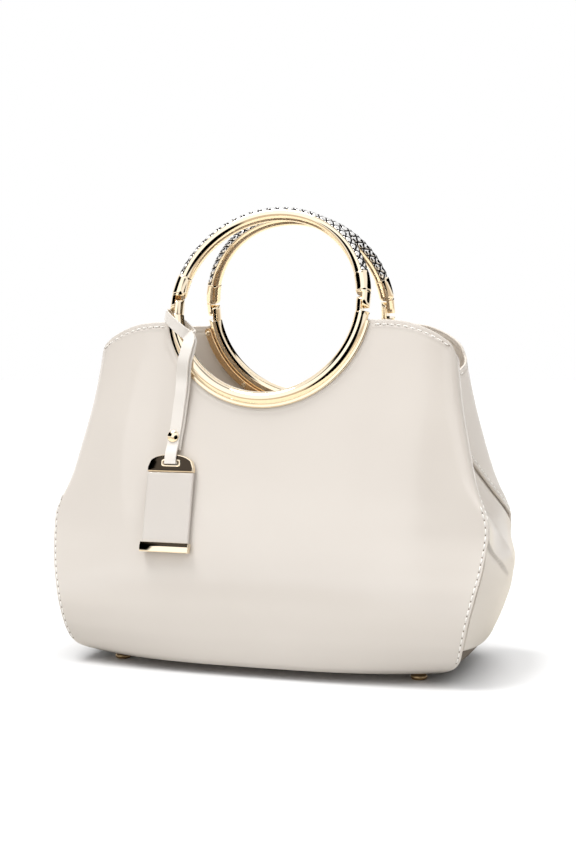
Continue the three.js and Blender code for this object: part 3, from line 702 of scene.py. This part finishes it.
def all_stitches():
    threads, hole_shades = [], []
    for back in (False, True):
        # along the top hem, from the ring to the fold
        params = []
        for x in np.linspace(72.5, 120, 40):
            zt = float(np.interp(x, TOP_EDGE_X, TOP_EDGE_Z)) if x < 80 else float(monotone(TOP_EDGE_X, TOP_EDGE_Z, x))
            zz = zt - TOP_ROW
            params.append((x / float(half_width(zz)), zz))
        hi_end = 120 / float(half_width(217.4))
        for f in np.linspace(0.04, 0.16, 3):
            zt = TOP_EDGE_Z[-1] + (FOLD_TOP_Z - TOP_EDGE_Z[-1]) * (f * 0.55 + 0.45 * f * f)
            params.append((hi_end + (1 - hi_end) * f, zt - TOP_ROW))
        pts, nrm = path_on(lambda s, z: face(s, z, back), params)
        pts[:, 1] -= 0.02
        runs = [(pts, nrm)]
        # down the lower side edge
        zs = np.linspace(114, 13, 60)
        params = [(1 - SIDE_ROW / float(half_width(z)), z) for z in zs]
        pts, nrm = path_on(lambda s, z: face(s, z, back), params)
        runs.append((pts, nrm))
        # rim of the wing
        params = [(v, float(wing_top(v)) - TOP_ROW) for v in np.linspace(0.50, 0.96, 20)]
        pts, nrm = path_on(lambda v, z: side(v, z, back), params)
        runs.append((pts, nrm))
        # diagonal seam of the wing
        params = [(v, float(seam_z(v)) + 4.4) for v in np.linspace(0.06, 0.95, 30)]
        pts, nrm = path_on(lambda v, z: side(v, z, back), params)
        runs.append((pts, nrm))
        for pts, nrm in runs:
            for sx in (1, -1):
                p, n = pts.copy(), nrm.copy()
                if (n[len(n) // 2] * np.array([1, -1, 0.2])).sum() < 0:
                    n = -n
                p[:, 0] *= sx
                n[:, 0] *= sx
                if back:
                    p[:, 1] *= -1
                    n[:, 1] *= -1
                t, h = stitch_run(p, n)
                threads.append(t)
                hole_shades.append(h)
    ob = add_mesh("stitch_threads", *joined(threads), [THREAD], angle=80)
    ob = add_mesh("stitch_hole_shades", *joined(hole_shades), [HOLE_SHADE], angle=80)


all_stitches()

# ------------------------------------------------------------------ rings
LOWER = Matrix.Translation((0, -HINGE_Y, HINGE_Z)) @ Matrix.Rotation(math.radians(-LOWER_TILT), 4, "X")
UPPER = Matrix.Translation((0, -HINGE_Y, HINGE_Z)) @ Matrix.Rotation(math.radians(-UPPER_TILT), 4, "X")
RING_SIDES = 48
SLEEVE_FLAT, SLEEVE_SPAN = 1.10, 76.0
CIRCLE = np.radians((np.arange(RING_SIDES) + 0.5) * 360 / RING_SIDES)


def on_arc(r, a, deg):
    d = math.radians(deg)
    return np.stack([np.asarray(r) * math.cos(d), -np.asarray(a), np.asarray(r) * math.sin(d)], -1)


def lap_end(direction, keep, sd, shoulder, tongue):
    def half(scale, z, shrink=0.0):
        r = (TUBE_R - shrink) * np.cos(CIRCLE)
        a = (TUBE_R - shrink) * np.sin(CIRCLE) * scale
        r = np.maximum(r, 0.3) if keep > 0 else np.minimum(r, -0.3)
        return np.stack([sd * (RING_R + r), -a, np.full_like(r, z)], -1)

    out = []
    for t in np.linspace(86, 0, 12):
        out.append(half(max(math.cos(math.radians(t)), 0.05), -direction * tongue * math.sin(math.radians(t))))
    out.append(half(1, direction * (shoulder - 0.25)))
    out.append(half(1, direction * shoulder))
    full = np.stack([sd * (RING_R + TUBE_R * np.cos(CIRCLE)), -TUBE_R * np.sin(CIRCLE), np.full(RING_SIDES, direction * shoulder)], -1)
    small = np.stack([sd * (RING_R + (TUBE_R - 0.25) * np.cos(CIRCLE)), -(TUBE_R - 0.25) * np.sin(CIRCLE), np.full(RING_SIDES, direction * shoulder)], -1)
    full2 = full.copy()
    full2[:, 2] = direction * (shoulder + 0.25)
    return out + [small, full2]


def rod(x0, x1, r, bevel=0.15):
    t = np.radians(np.arange(0, 360, 15))

    def ring(x, rr):
        return np.stack([np.full_like(t, x), rr * np.cos(t), rr * np.sin(t)], -1)

    s = 1 if x1 > x0 else -1
    return loft([ring(x0, r - bevel), ring(x0 + s * bevel, r), ring(x1 - s * bevel, r), ring(x1, r - bevel)])


def handle_core():
    def full(deg, r=TUBE_R):
        return on_arc(RING_R + r * np.cos(CIRCLE), r * np.sin(CIRCLE), deg)

    def core(deg):
        return on_arc(RING_R + np.minimum(TUBE_R * np.cos(CIRCLE), SLEEVE_FLAT), TUBE_R * np.sin(CIRCLE), deg)

    wide = TUBE_R + FERRULE_STEP

    def ferrule():
        return ([full(START_DEG), full(START_DEG + 0.3, TUBE_R + 0.1), full(START_DEG + 0.6, wide - 0.1), full(START_DEG + 0.9, wide)]
                + [full(d, wide) for d in np.linspace(START_DEG + 2, FERRULE_DEG - 0.25, 8)] + [full(FERRULE_DEG, wide - 0.2)])

    def turned(secs):
        return [np.stack([-q[:, 0], q[:, 1], q[:, 2]], -1) for q in secs]

    secs = lap_end(1, 1, 1, LAP_CLEAR, 4.6) + ferrule()
    secs += [core(d) for d in np.linspace(FERRULE_DEG, 180 - FERRULE_DEG, 120)]
    secs += turned(ferrule())[::-1]
    secs += lap_end(1, 1, -1, LAP_CLEAR, 4.6)[::-1]
    v, f = loft(secs)
    return weld(v, f)


def sleeve():
    nu, nw = 760, 48
    u = np.linspace(FERRULE_DEG + 0.35, 180 - FERRULE_DEG - 0.35, nu)
    psi = np.linspace(-SLEEVE_SPAN, SLEEVE_SPAN, nw)
    U, P = np.meshgrid(u, psi, indexing="ij")
    lu = np.radians(U - 90) * (RING_R + TUBE_R)
    lw = np.radians(P) * TUBE_R
    p, q = lu / 6.48, lw / 6.3 + 0.25
    a, b = p + q, p - q
    fa, fb = ((a % 1) - 0.5) * 2, ((b % 1) - 0.5) * 2
    m = np.maximum(np.abs(fa), np.abs(fb))
    # each scale is a small dome that leans toward one corner
    lean = 1 + 0.55 * (fa + fb) / 2
    h = 0.52 * (1 - fa ** 2) ** 0.8 * (1 - fb ** 2) ** 0.8 * lean
    groove = smooth(0.66, 0.86, m)
    h = h - 0.16 * groove
    edge = smooth(0, 1.2, SLEEVE_SPAN - np.abs(P)) * smooth(0, 0.5, U - u[0]) * smooth(0, 0.5, u[-1] - U)
    r = TUBE_R - 0.22 + h * (0.35 + 0.65 * edge)
    rr = RING_R + r * np.cos(np.radians(P))
    aa = r * np.sin(np.radians(P))
    ang = np.radians(U)
    outer = np.stack([rr * np.cos(ang), -aa, rr * np.sin(ang)], -1)
    verts = outer.reshape(-1, 3)
    faces = []
    idx = np.arange(nu * nw).reshape(nu, nw)
    for i in range(nu - 1):
        for j in range(nw - 1):
            faces.append((idx[i, j], idx[i + 1, j], idx[i + 1, j + 1], idx[i, j + 1]))
        faces.append((idx[i, nw - 1], idx[i + 1, nw - 1], idx[i + 1, 0], idx[i, 0]))
    faces.append(tuple(idx[0, :]))
    faces.append(tuple(idx[-1, :][::-1]))
    return (verts, outward(verts, faces)), groove.reshape(-1)


def frame_tube():
    def full(deg):
        return on_arc(RING_R + TUBE_R * np.cos(CIRCLE), TUBE_R * np.sin(CIRCLE), deg)

    secs = lap_end(-1, -1, 1, FRAME_CLEAR, 3.4)
    secs += [full(-d) for d in np.linspace(FRAME_START_DEG, 180 - FRAME_START_DEG, 140)]
    secs += lap_end(-1, -1, -1, FRAME_CLEAR, 3.4)[::-1]
    tube = weld(*loft(secs))
    prof = [(RING_R + 2.4, 0.45), (LIP_R - 0.35, 0.45), (LIP_R - 0.05, 0.62), (LIP_R, 1.0), (LIP_R - 0.25, 1.42), (LIP_R - 0.8, 1.6), (RING_R + 3.8, 1.75), (RING_R + 2.4, 1.75)]
    degs = np.linspace(10.8, 180 - 10.8, 120)
    lip = loft([on_arc([p[0] for p in prof], [p[1] for p in prof], -d) for d in degs])
    return joined([tube, lip])


def clamp():
    secs = []
    for d in np.concatenate([np.linspace(10.5, 16, 16), np.linspace(18, 162, 90), np.linspace(164, 169.5, 16)]):
        t = min(d - 10.5, 169.5 - d) * math.radians(1) * CLAMP_R
        wide = math.sqrt(max(1 - max(1 - t / CLAMP_HALF, 0) ** 2, 0.03))
        h = CLAMP_HALF * wide
        b = min(0.35, h * 0.4)
        pr = [(CLAMP_R - h, -5.2), (CLAMP_R - h + b, -5.6), (CLAMP_R + h - b, -5.6), (CLAMP_R + h, -5.2), (CLAMP_R + h, -3.6), (CLAMP_R - h, -3.6)]
        secs.append(on_arc([p[0] for p in pr], [p[1] for p in pr], -d))
    return loft(secs)


def screw(deg):
    c = on_arc(CLAMP_R, 0, -deg)
    t = np.radians(np.arange(0, 360, 15))

    def ring(r, a):
        return np.stack([c[0] + r * np.cos(t), np.full_like(t, -a), c[2] + r * np.sin(t)], -1)

    head = loft([ring(2.0, -5.6), ring(2.05, -5.9), ring(1.85, -6.3), ring(1.2, -6.6), ring(0.95, -6.62), ring(0.9, -6.1), ring(0.3, -6.05)])
    return head


def to_xyz(part, m):
    return placed(part, m)


core_part = handle_core()
sleeve_part, sleeve_groove = sleeve()
frame_part = frame_tube()
clamp_part = clamp()
pins = joined([rod(s * (RING_R - 2.5), s * (RING_R + 4.45), 1.4) for s in (1, -1)])
for end, body, flip in (("front", "front_handle_arch", False), ("back", "back_handle_arch", True)):
    def fixed(part):
        return mirrored(part, 1) if flip else part

    ob = add_mesh(f"{end}_handle_gold", *fixed(placed(core_part, UPPER)), [GOLD], body=body, angle=38)
    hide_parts(f"{end}_handle")
    v, f = fixed(placed(sleeve_part, UPPER))
    ob = add_mesh(f"{end}_handle_scales", v, f, [SILVER], body=body, angle=60, attrs={"groove": sleeve_groove})
    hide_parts(f"{end}_handle_sleeve")
    ob = add_mesh(f"{end}_ring_gold", *fixed(placed(frame_part, LOWER)), [GOLD], angle=38)
    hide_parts(f"{end}_ring_frame")
    # hinge pins and clamp strips in the gold with painted shade
    ob = add_mesh(f"{end}_hinge_pins", *fixed(placed(pins, LOWER)), [GOLD_SHADED], angle=38)
    ob = add_mesh(f"{end}_clamp_gold", *fixed(placed(clamp_part, LOWER)), [GOLD_SHADED], angle=38)
    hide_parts(f"{end}_ring_clamp")
    for i, deg in enumerate((13.5, 51, 129, 166.5)):
        ob = add_mesh(f"{end}_screw_head_{i + 1}", *fixed(placed(screw(deg), LOWER)), [GOLD], angle=38)
        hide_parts(f"{end}_clamp_screw_{i + 1}")

# ------------------------------------------------------------------ hanging tag
TAG_X, TAG_Z, TAG_ROLL, TAG_OUT, TAG_W, TAG_L, TAG_T = -58.0, 136.8, 0.3, 0.9, 32.6, 46.9, 3.6


def face_y(x, z):
    return float(face(x / float(half_width(z)), z)[1])


tag_top = face_y(TAG_X, TAG_Z + 6) - 1.2
tag_low = face_y(TAG_X - 5, TAG_Z - 56) - 1.2
sag = min(0.0, face_y(TAG_X - 2, TAG_Z - 24) - 1.2 - (tag_top + (tag_low - tag_top) * 30 / 62))
TAG_TILT = math.atan2(tag_top - tag_low, 62)
TAG = (Matrix.Translation((TAG_X, tag_top + (tag_low - tag_top) * 6 / 62 + sag - TAG_OUT, TAG_Z))
       @ Matrix.Rotation(-TAG_TILT, 4, "X") @ Matrix.Rotation(math.radians(TAG_ROLL), 4, "Y"))


def tag_cap():
    w, n = TAG_W / 2, 96
    # dome outline and slot outline with the same number of points, by angle about the slot
    def dome(inset):
        pts = []
        ww = w - inset
        for d in np.linspace(25, 155, 60):
            pts.append((ww * math.cos(math.radians(d)) * 0.985, -3 + (9 - inset) * math.sin(math.radians(d)) ** 0.8))
        left = [(-ww, z) for z in np.linspace(-3, -6 + inset, 8)]
        bottom = [(x, -6 + inset) for x in np.linspace(-ww, ww, 22)[1:-1]]
        rightp = [(ww, z) for z in np.linspace(-6 + inset, -3, 8)]
        return np.array(pts + left + bottom + rightp)

    base_pts = dome(0)
    ang = np.arctan2(base_pts[:, 1], base_pts[:, 0])

    def slot(grow):
        a, b, r = 5.6 + grow, 1.4 + grow, 1.0
        out = []
        for t in ang:
            c, s = math.cos(t), math.sin(t)
            k = (abs(c / a) ** 5 + abs(s / b) ** 5) ** (-1 / 5)
            out.append((c * k, s * k))
        return np.array(out)

    def layer(p, y):
        return np.stack([p[:, 0], np.full(len(p), y), p[:, 1]], -1)

    loops = [layer(dome(0.0), -0.1), layer(dome(0.0), -TAG_T + 0.7), layer(dome(0.25), -TAG_T + 0.2), layer(dome(0.8), -TAG_T),
             layer(slot(1.1), -TAG_T), layer(slot(0.9), -TAG_T - 0.25), layer(slot(0.35), -TAG_T - 0.25), layer(slot(0.1), -TAG_T),
             layer(slot(0.0), -0.1)]
    s = np.array(loops)
    m, k = s.shape[:2]
    verts = s.reshape(-1, 3)
    faces, kinds = [], []
    for i in range(m):
        a, b = i * k, ((i + 1) % m) * k
        for j in range(k):
            jj = (j + 1) % k
            faces.append((a + j, a + jj, b + jj, b + j))
            # the flat front face round the slot takes the near-black gold
            kinds.append(1 if i == 3 else 0)
    return (verts, outward(verts, faces)), kinds


def slab(x0, x1, z0, z1, y_back, y_front, r, pillow=0.0, nx=30, nz=44):
    """Flat block with rounded long edges and a slightly crowned front."""
    xs = np.concatenate([[x0], x0 + r * (1 - np.cos(np.radians([30, 60, 90]))), np.linspace(x0 + r, x1 - r, nx)[1:-1], x1 - r * (1 - np.cos(np.radians([90, 60, 30]))), [x1]])
    zs = np.concatenate([[z0], z0 + r * (1 - np.cos(np.radians([30, 60, 90]))), np.linspace(z0 + r, z1 - r, nz)[1:-1], z1 - r * (1 - np.cos(np.radians([90, 60, 30]))), [z1]])
    X, Z = np.meshgrid(xs, zs, indexing="ij")
    dx = np.minimum(X - x0, x1 - X)
    dz = np.minimum(Z - z0, z1 - Z)
    d = np.minimum(dx, dz)
    drop = r - np.sqrt(np.maximum(r * r - np.maximum(r - d, 0) ** 2, 0))
    crown = pillow * smooth(0, 6, d)
    front = np.stack([X, y_front + drop - crown, Z], -1)
    backs = np.stack([X, y_back - drop * 0.6, Z], -1)
    ni, nj = X.shape
    verts = np.concatenate([front.reshape(-1, 3), backs.reshape(-1, 3)])
    idx = np.arange(ni * nj).reshape(ni, nj)
    faces, o = [], ni * nj
    for i in range(ni - 1):
        for j in range(nj - 1):
            faces.append((idx[i, j], idx[i + 1, j], idx[i + 1, j + 1], idx[i, j + 1]))
            faces.append((o + idx[i, j], o + idx[i, j + 1], o + idx[i + 1, j + 1], o + idx[i + 1, j]))
    loop = list(idx[:, 0]) + list(idx[-1, 1:]) + list(idx[-2::-1, -1]) + list(idx[0, -2:0:-1])
    for i in range(len(loop)):
        a, b = loop[i], loop[(i + 1) % len(loop)]
        faces.append((a, o + a, o + b, b))
    return verts, outward(verts, faces)


cap_part, cap_kinds = tag_cap()
ob = add_mesh("tag_cap_gold", *placed(cap_part, TAG), [GOLD, GOLD_PAINTED_DARK], mat_index=cap_kinds, angle=30)
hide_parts("tag_cap")
ob = add_mesh("tag_plate_leather", *placed(slab(-TAG_W / 2, TAG_W / 2, -6.2 - TAG_L, -6.2, -0.3, -TAG_T + 0.45, 0.8, 0.15), TAG), [PLATE], angle=40)
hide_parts("tag_plate")


def tag_bar():
    x0, x1 = -TAG_W / 2 - 0.9, TAG_W / 2 + 0.9
    top, low = -6.6 - TAG_L + 1.0, -6.6 - TAG_L - 5.4
    prof = [(0.1, top), (-TAG_T + 0.2, top), (-TAG_T - 0.1, top - 0.1), (-TAG_T - 1.0, top - 2.7), (-TAG_T - 1.05, top - 3.0), (-TAG_T - 0.9, low + 0.4), (-TAG_T - 0.5, low), (-0.3, low), (0.1, low + 0.4)]
    secs = []
    for x, k in ((x0, 0.9), (x0 + 0.15, 0.97), (x0 + 0.4, 1.0), (x1 - 0.4, 1.0), (x1 - 0.15, 0.97), (x1, 0.9)):
        cy, cz = -TAG_T / 2, (top + low) / 2
        secs.append([(x, cy + (y - cy) * k, cz + (z - cz) * k) for y, z in prof])
    v, f = loft(secs)
    # the bevelled top face of the bar is painted near-black as a dark reflection
    middle = np.array([np.mean(v[list(g)], axis=0) for g in f])
    dark = (middle[:, 2] > top - 2.75) & (middle[:, 2] < top - 0.3) & (middle[:, 1] < -TAG_T) & (np.abs(middle[:, 0]) < x1 - 0.3)
    return (v, f), dark.astype(int)


bar_part, bar_kinds = tag_bar()
ob = add_mesh("tag_bar_gold", *placed(bar_part, TAG), [GOLD, GOLD_PAINTED_DARK], mat_index=bar_kinds, angle=25)
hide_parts("tag_bar")


def strap():
    wide, thick = 4.0, 0.7
    tilt, lean, centre = math.radians(38), math.radians(12), np.array([-61.8, -38.0, 228.6])
    prof = [(-wide, -0.45), (-wide + 0.18, -thick), (wide - 0.18, -thick), (wide, -0.45), (wide, 0.45), (wide - 0.18, thick), (-wide + 0.18, thick), (-wide, 0.45)]
    # band round the tube
    secs = []
    n = 96
    for j in range(n):
        t = 2 * math.pi * j / n
        c, s = math.cos(t), math.sin(t)
        u = math.copysign(abs(c) ** 0.75, c) * 12.3
        y = math.copysign(abs(s) ** 0.6, s) * 8.3
        t2 = t + 0.02
        u2 = math.copysign(abs(math.cos(t2)) ** 0.75, math.cos(t2)) * 12.3
        y2 = math.copysign(abs(math.sin(t2)) ** 0.6, math.sin(t2)) * 8.3
        d = np.array([u2 - u, y2 - y])
        d /= max(np.linalg.norm(d), 1e-9)
        nu, ny = d[1], -d[0]
        sec = []
        for w, h in prof:
            uu, yy = u - nu * h, y - ny * h
            sec.append((centre[0] + uu * math.cos(tilt) + w * math.sin(lean), centre[1] + yy - 0.18 * uu, centre[2] - uu * math.sin(tilt) + w * math.cos(lean)))
        secs.append(sec)
    band = loft(secs, closed_path=True)

    def ribbon(path, n=90):
        p = np.array(path, float)
        d = np.concatenate([[0], np.cumsum(np.linalg.norm(np.diff(p[:, :3], axis=0), axis=1))])
        t = np.linspace(0, d[-1], n)
        q = np.stack([monotone(d, p[:, c], t) for c in range(4)], -1)
        secs = []
        for i in range(n):
            a, b = q[max(i - 1, 0)], q[min(i + 1, n - 1)]
            tan = (b - a)[:3]
            tan /= np.linalg.norm(tan)
            turn = math.radians(q[i, 3])
            w = np.array([math.cos(turn), 0, math.sin(turn)])
            w -= tan * w.dot(tan)
            w /= np.linalg.norm(w)
            nn = np.cross(w, tan)
            if nn[1] > 0:
                nn = -nn
            secs.append([q[i, :3] + w * pw - nn * ph for pw, ph in prof])
        return loft(secs)

    def lay(x, z, off):
        return face_y(x, z) - off

    front = ribbon([
        [-53.2, -45.9, 223, 20], [-51.1, -48.2, 218.5, 8], [-52, -51, 212, 0], [-53.6, -52.6, 204, 0], [-54.7, lay(-54.7, 194, 6.3), 194, 0],
        [-54.9, lay(-54.9, 184, 5.6), 184, 0], [-55.7, lay(-55.7, 175.7, 4.9), 175.7, 0], [-56.6, lay(-56.6, 162.7, 4.4), 162.7, 0],
        [-57.5, lay(-57.5, 155, 4.4), 155, 0], [-57.8, lay(-57.8, 150.3, 4.7), 150.3, 0], [-58, lay(-58, 143.5, 6.7), 143.5, -0.3], [TAG_X, lay(TAG_X, 137, 7.2), 137, -0.3]])
    rear = ribbon([
        [-53.2, -45.5, 222.5, 20], [-50.4, -46.4, 217.5, 8], [-50.9, -48.7, 211, 0], [-52.5, -50.3, 203, 0], [-53.5, lay(-53.5, 194, 3.9), 194, 0],
        [-53.8, lay(-53.8, 184, 3.3), 184, 0], [-54.5, lay(-54.5, 175.7, 2.9), 175.7, 0], [-55.4, lay(-55.4, 162.7, 2.5), 162.7, 0],
        [-56.3, lay(-56.3, 155, 2.5), 155, 0], [-56.8, lay(-56.8, 146, 2.7), 146, 0]])
    link = placed(slab(-4.3, 4.3, -0.7, 0.7, 0.9, -TAG_T - 1.2, 0.2, nx=4, nz=4), TAG)
    return joined([band, front, rear, link])


ob = add_mesh("tag_strap_leather", *strap(), [STRAP], angle=35)
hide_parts("tag_strap")


def rivet():
    t = np.radians(np.arange(0, 360, 10))

    def ring(r, y):
        return np.stack([r * np.cos(t), np.full_like(t, y), r * np.sin(t)], -1)

    part = loft([ring(3.8, 0.1), ring(4.0, -0.2), ring(3.95, -0.5), ring(3.7, -0.75), ring(3.2, -1.05), ring(2.5, -1.4), ring(1.6, -1.75), ring(0.8, -1.92), ring(0.2, -1.97)])
    m = Matrix.Translation((-57.8, face_y(-57.8, 155) - 4.4 - 0.7 - 0.45, 155)) @ Matrix.Rotation(math.radians(-LOWER_TILT), 4, "X")
    return placed(part, m)


ob = add_mesh("tag_rivet_gold", *rivet(), [GOLD], angle=30)
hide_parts("tag_rivet")

# ------------------------------------------------------------------ feet
for i, (sx, sy) in enumerate(((-1, -1), (1, -1), (-1, 1), (1, 1))):
    prof = [(0.05, 0), (3.4, 0), (4.2, 0.10), (4.9, 0.5), (5.35, 1.1), (5.5, 1.8), (5.35, 2.5), (4.9, 3.2), (4.2, 3.7), (3.5, 4.0), (3.4, 4.2), (3.4, 4.55)]
    t = np.radians(np.arange(0, 360, 9))
    secs = [np.stack([sx * 104 + r * np.cos(t), sy * 40 + r * np.sin(t), np.full_like(t, z)], -1) for r, z in prof]
    # the feet use the gold darkened as painted shade
    ob = add_mesh(f"foot_metal_{i + 1}", *loft(secs), [FOOT_SHADED], angle=40)
    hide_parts(f"foot_{i + 1}")

# ------------------------------------------------------------------ floor, world and lights
floor_me = bpy.data.meshes.new("floor")
corners = [right * u - ahead * v for u, v in ((-0.9, 0.42), (0.9, 0.42), (40.0, -40.0), (-40.0, -40.0))]
floor_me.from_pydata([tuple(c) for c in corners], [], [(0, 1, 2, 3)])
floor = bpy.data.objects.new("floor", floor_me)
bpy.context.collection.objects.link(floor)
floor_mat = matte("floor_white", (0.80, 0.80, 0.80), (0.81, 0.81, 0.81), 0.75, scale=2)
floor_me.materials.append(floor_mat)
ft = floor_mat.node_tree
path = ft.nodes.new("ShaderNodeLightPath")
dim = ft.nodes.new("ShaderNodeMix")
dim.data_type = "RGBA"
dim.blend_type = "MULTIPLY"
dim.inputs[7].default_value = (FLOOR_BOUNCE, FLOOR_BOUNCE, FLOOR_BOUNCE, 1)
paint = ft.nodes["Principled BSDF"].inputs["Base Color"]
ft.links.new(paint.links[0].from_socket, dim.inputs[6])
ft.links.new(path.outputs["Is Diffuse Ray"], dim.inputs[0])
# the floor as seen in reflections is painted warm; camera rays still see it white
tint = ft.nodes.new("ShaderNodeMix")
tint.data_type = "RGBA"
tint.blend_type = "MULTIPLY"
tint.inputs[7].default_value = (0.92, 0.84, 0.70, 1)
ft.links.new(path.outputs["Is Glossy Ray"], tint.inputs[0])
ft.links.new(dim.outputs[2], tint.inputs[6])
ft.links.new(tint.outputs[2], paint)

world = bpy.data.worlds.new("studio")
bpy.context.scene.world = world
world.use_nodes = True
wn = world.node_tree
wn.nodes.clear()
out = wn.nodes.new("ShaderNodeOutputWorld")
bg_cam = node(wn, "ShaderNodeBackground", Color=(1, 1, 1, 1), Strength=1.0)
bg_env = node(wn, "ShaderNodeBackground", Color=(1, 1, 1, 1))
mixer = wn.nodes.new("ShaderNodeMixShader")
lp = wn.nodes.new("ShaderNodeLightPath")
tc = wn.nodes.new("ShaderNodeTexCoord")


def wmath(op, a, b=None, clamp=False):
    n = wn.nodes.new("ShaderNodeMath")
    n.operation = op
    n.use_clamp = clamp
    for i, v in enumerate((a, b)):
        if v is None:
            continue
        if isinstance(v, (int, float)):
            n.inputs[i].default_value = v
        else:
            wn.links.new(v, n.inputs[i])
    return n.outputs[0]


def wdot(vec):
    n = node(wn, "ShaderNodeVectorMath", _operation="DOT_PRODUCT")
    n.inputs[1].default_value = vec
    wn.links.new(tc.outputs["Generated"], n.inputs[0])
    return n.outputs["Value"]


AZIMUTH = wmath("MULTIPLY", wmath("ARCTAN2", wdot(right), wdot(-ahead)), 57.29578)
ELEVATION = wmath("MULTIPLY", wmath("ARCSINE", wdot((0, 0, 1))), 57.29578)


def ramp_up(value, at, soft):
    """0 below at, 1 above it, eased over soft degrees."""
    n = wn.nodes.new("ShaderNodeMapRange")
    n.interpolation_type = "SMOOTHSTEP"
    n.inputs["From Min"].default_value = at - soft / 2
    n.inputs["From Max"].default_value = at + soft / 2
    wn.links.new(value, n.inputs["Value"])
    return n.outputs["Result"]


def window(az0, az1, el0, el1, soft_az, soft_el):
    """1 inside a patch of the studio's wall, measured from the camera's side, degrees."""
    f = wmath("MULTIPLY", ramp_up(AZIMUTH, az0, soft_az), wmath("SUBTRACT", 1.0, ramp_up(AZIMUTH, az1, soft_az)))
    g = wmath("MULTIPLY", ramp_up(ELEVATION, el0, soft_el), wmath("SUBTRACT", 1.0, ramp_up(ELEVATION, el1, soft_el)))
    return wmath("MULTIPLY", f, g)


def lay_over(level, value, patch):
    """The level with a patch of another brightness laid over it."""
    return wmath("ADD", wmath("MULTIPLY", level, wmath("SUBTRACT", 1.0, patch)), wmath("MULTIPLY", patch, value))


level = wmath("MULTIPLY", 1.05, 1.0)
for value, patch in WALLS:
    level = lay_over(level, value, window(*patch))
u2 = wmath("POWER", wmath("DIVIDE", wmath("SUBTRACT", AZIMUTH, FLAG[0]), FLAG[2]), 2.0)
v2 = wmath("POWER", wmath("DIVIDE", wmath("SUBTRACT", ELEVATION, FLAG[1]), FLAG[3]), 2.0)
away = wmath("SQRT", wmath("ADD", u2, v2))
level = wmath("MULTIPLY", level, ramp_up(away, 1.0, 2 * FLAG[4]))
share = lay_over(lay_over(wmath("MULTIPLY", SOFT_SHARE, 1.0), SOFT_SHARE * LEFT_SHARE, wmath("SUBTRACT", 1.0, ramp_up(AZIMUTH, -70.0, 40.0))),
                 SOFT_SHARE * RIGHT_SHARE, ramp_up(AZIMUTH, 60.0, 40.0))
share = wmath("MULTIPLY", share, lay_over(wmath("MULTIPLY", 1.0, 1.0), HIGH_SHARE, ramp_up(ELEVATION, 45.0, 30.0)))
level = wmath("MULTIPLY", level, lay_over(wmath("MULTIPLY", 1.0, 1.0), share, lp.outputs["Is Diffuse Ray"]))
wn.links.new(level, bg_env.inputs["Strength"])
warm = wn.nodes.new("ShaderNodeMix")
warm.data_type = "RGBA"
warm.inputs[6].default_value = (1, 1, 1, 1)
warm.inputs[7].default_value = (1.0, 0.86, 0.70, 1)
wn.links.new(wmath("SUBTRACT", 1.0, ramp_up(ELEVATION, -1.0, 4.0)), warm.inputs[0])
wn.links.new(warm.outputs[2], bg_env.inputs["Color"])
world.cycles.sampling_method = "NONE"
wn.links.new(lp.outputs["Is Camera Ray"], mixer.inputs["Fac"])
wn.links.new(bg_env.outputs["Background"], mixer.inputs[1])
wn.links.new(bg_cam.outputs["Background"], mixer.inputs[2])
wn.links.new(mixer.outputs["Shader"], out.inputs["Surface"])

sun_data = bpy.data.lights.new("overhead", "SUN")
sun_data.energy = SUN_POWER
sun_data.angle = math.radians(SUN_SOFT)
sun = bpy.data.objects.new("overhead", sun_data)
bpy.context.collection.objects.link(sun)
sun_from = -ahead * SUN_FROM[0] + right * SUN_FROM[1] + Vector((0, 0, SUN_FROM[2]))
sun.rotation_euler = (-sun_from).to_track_quat("-Z", "Y").to_euler()

scene = bpy.context.scene
scene.view_settings.view_transform = "Standard"
scene.view_settings.look = "None"
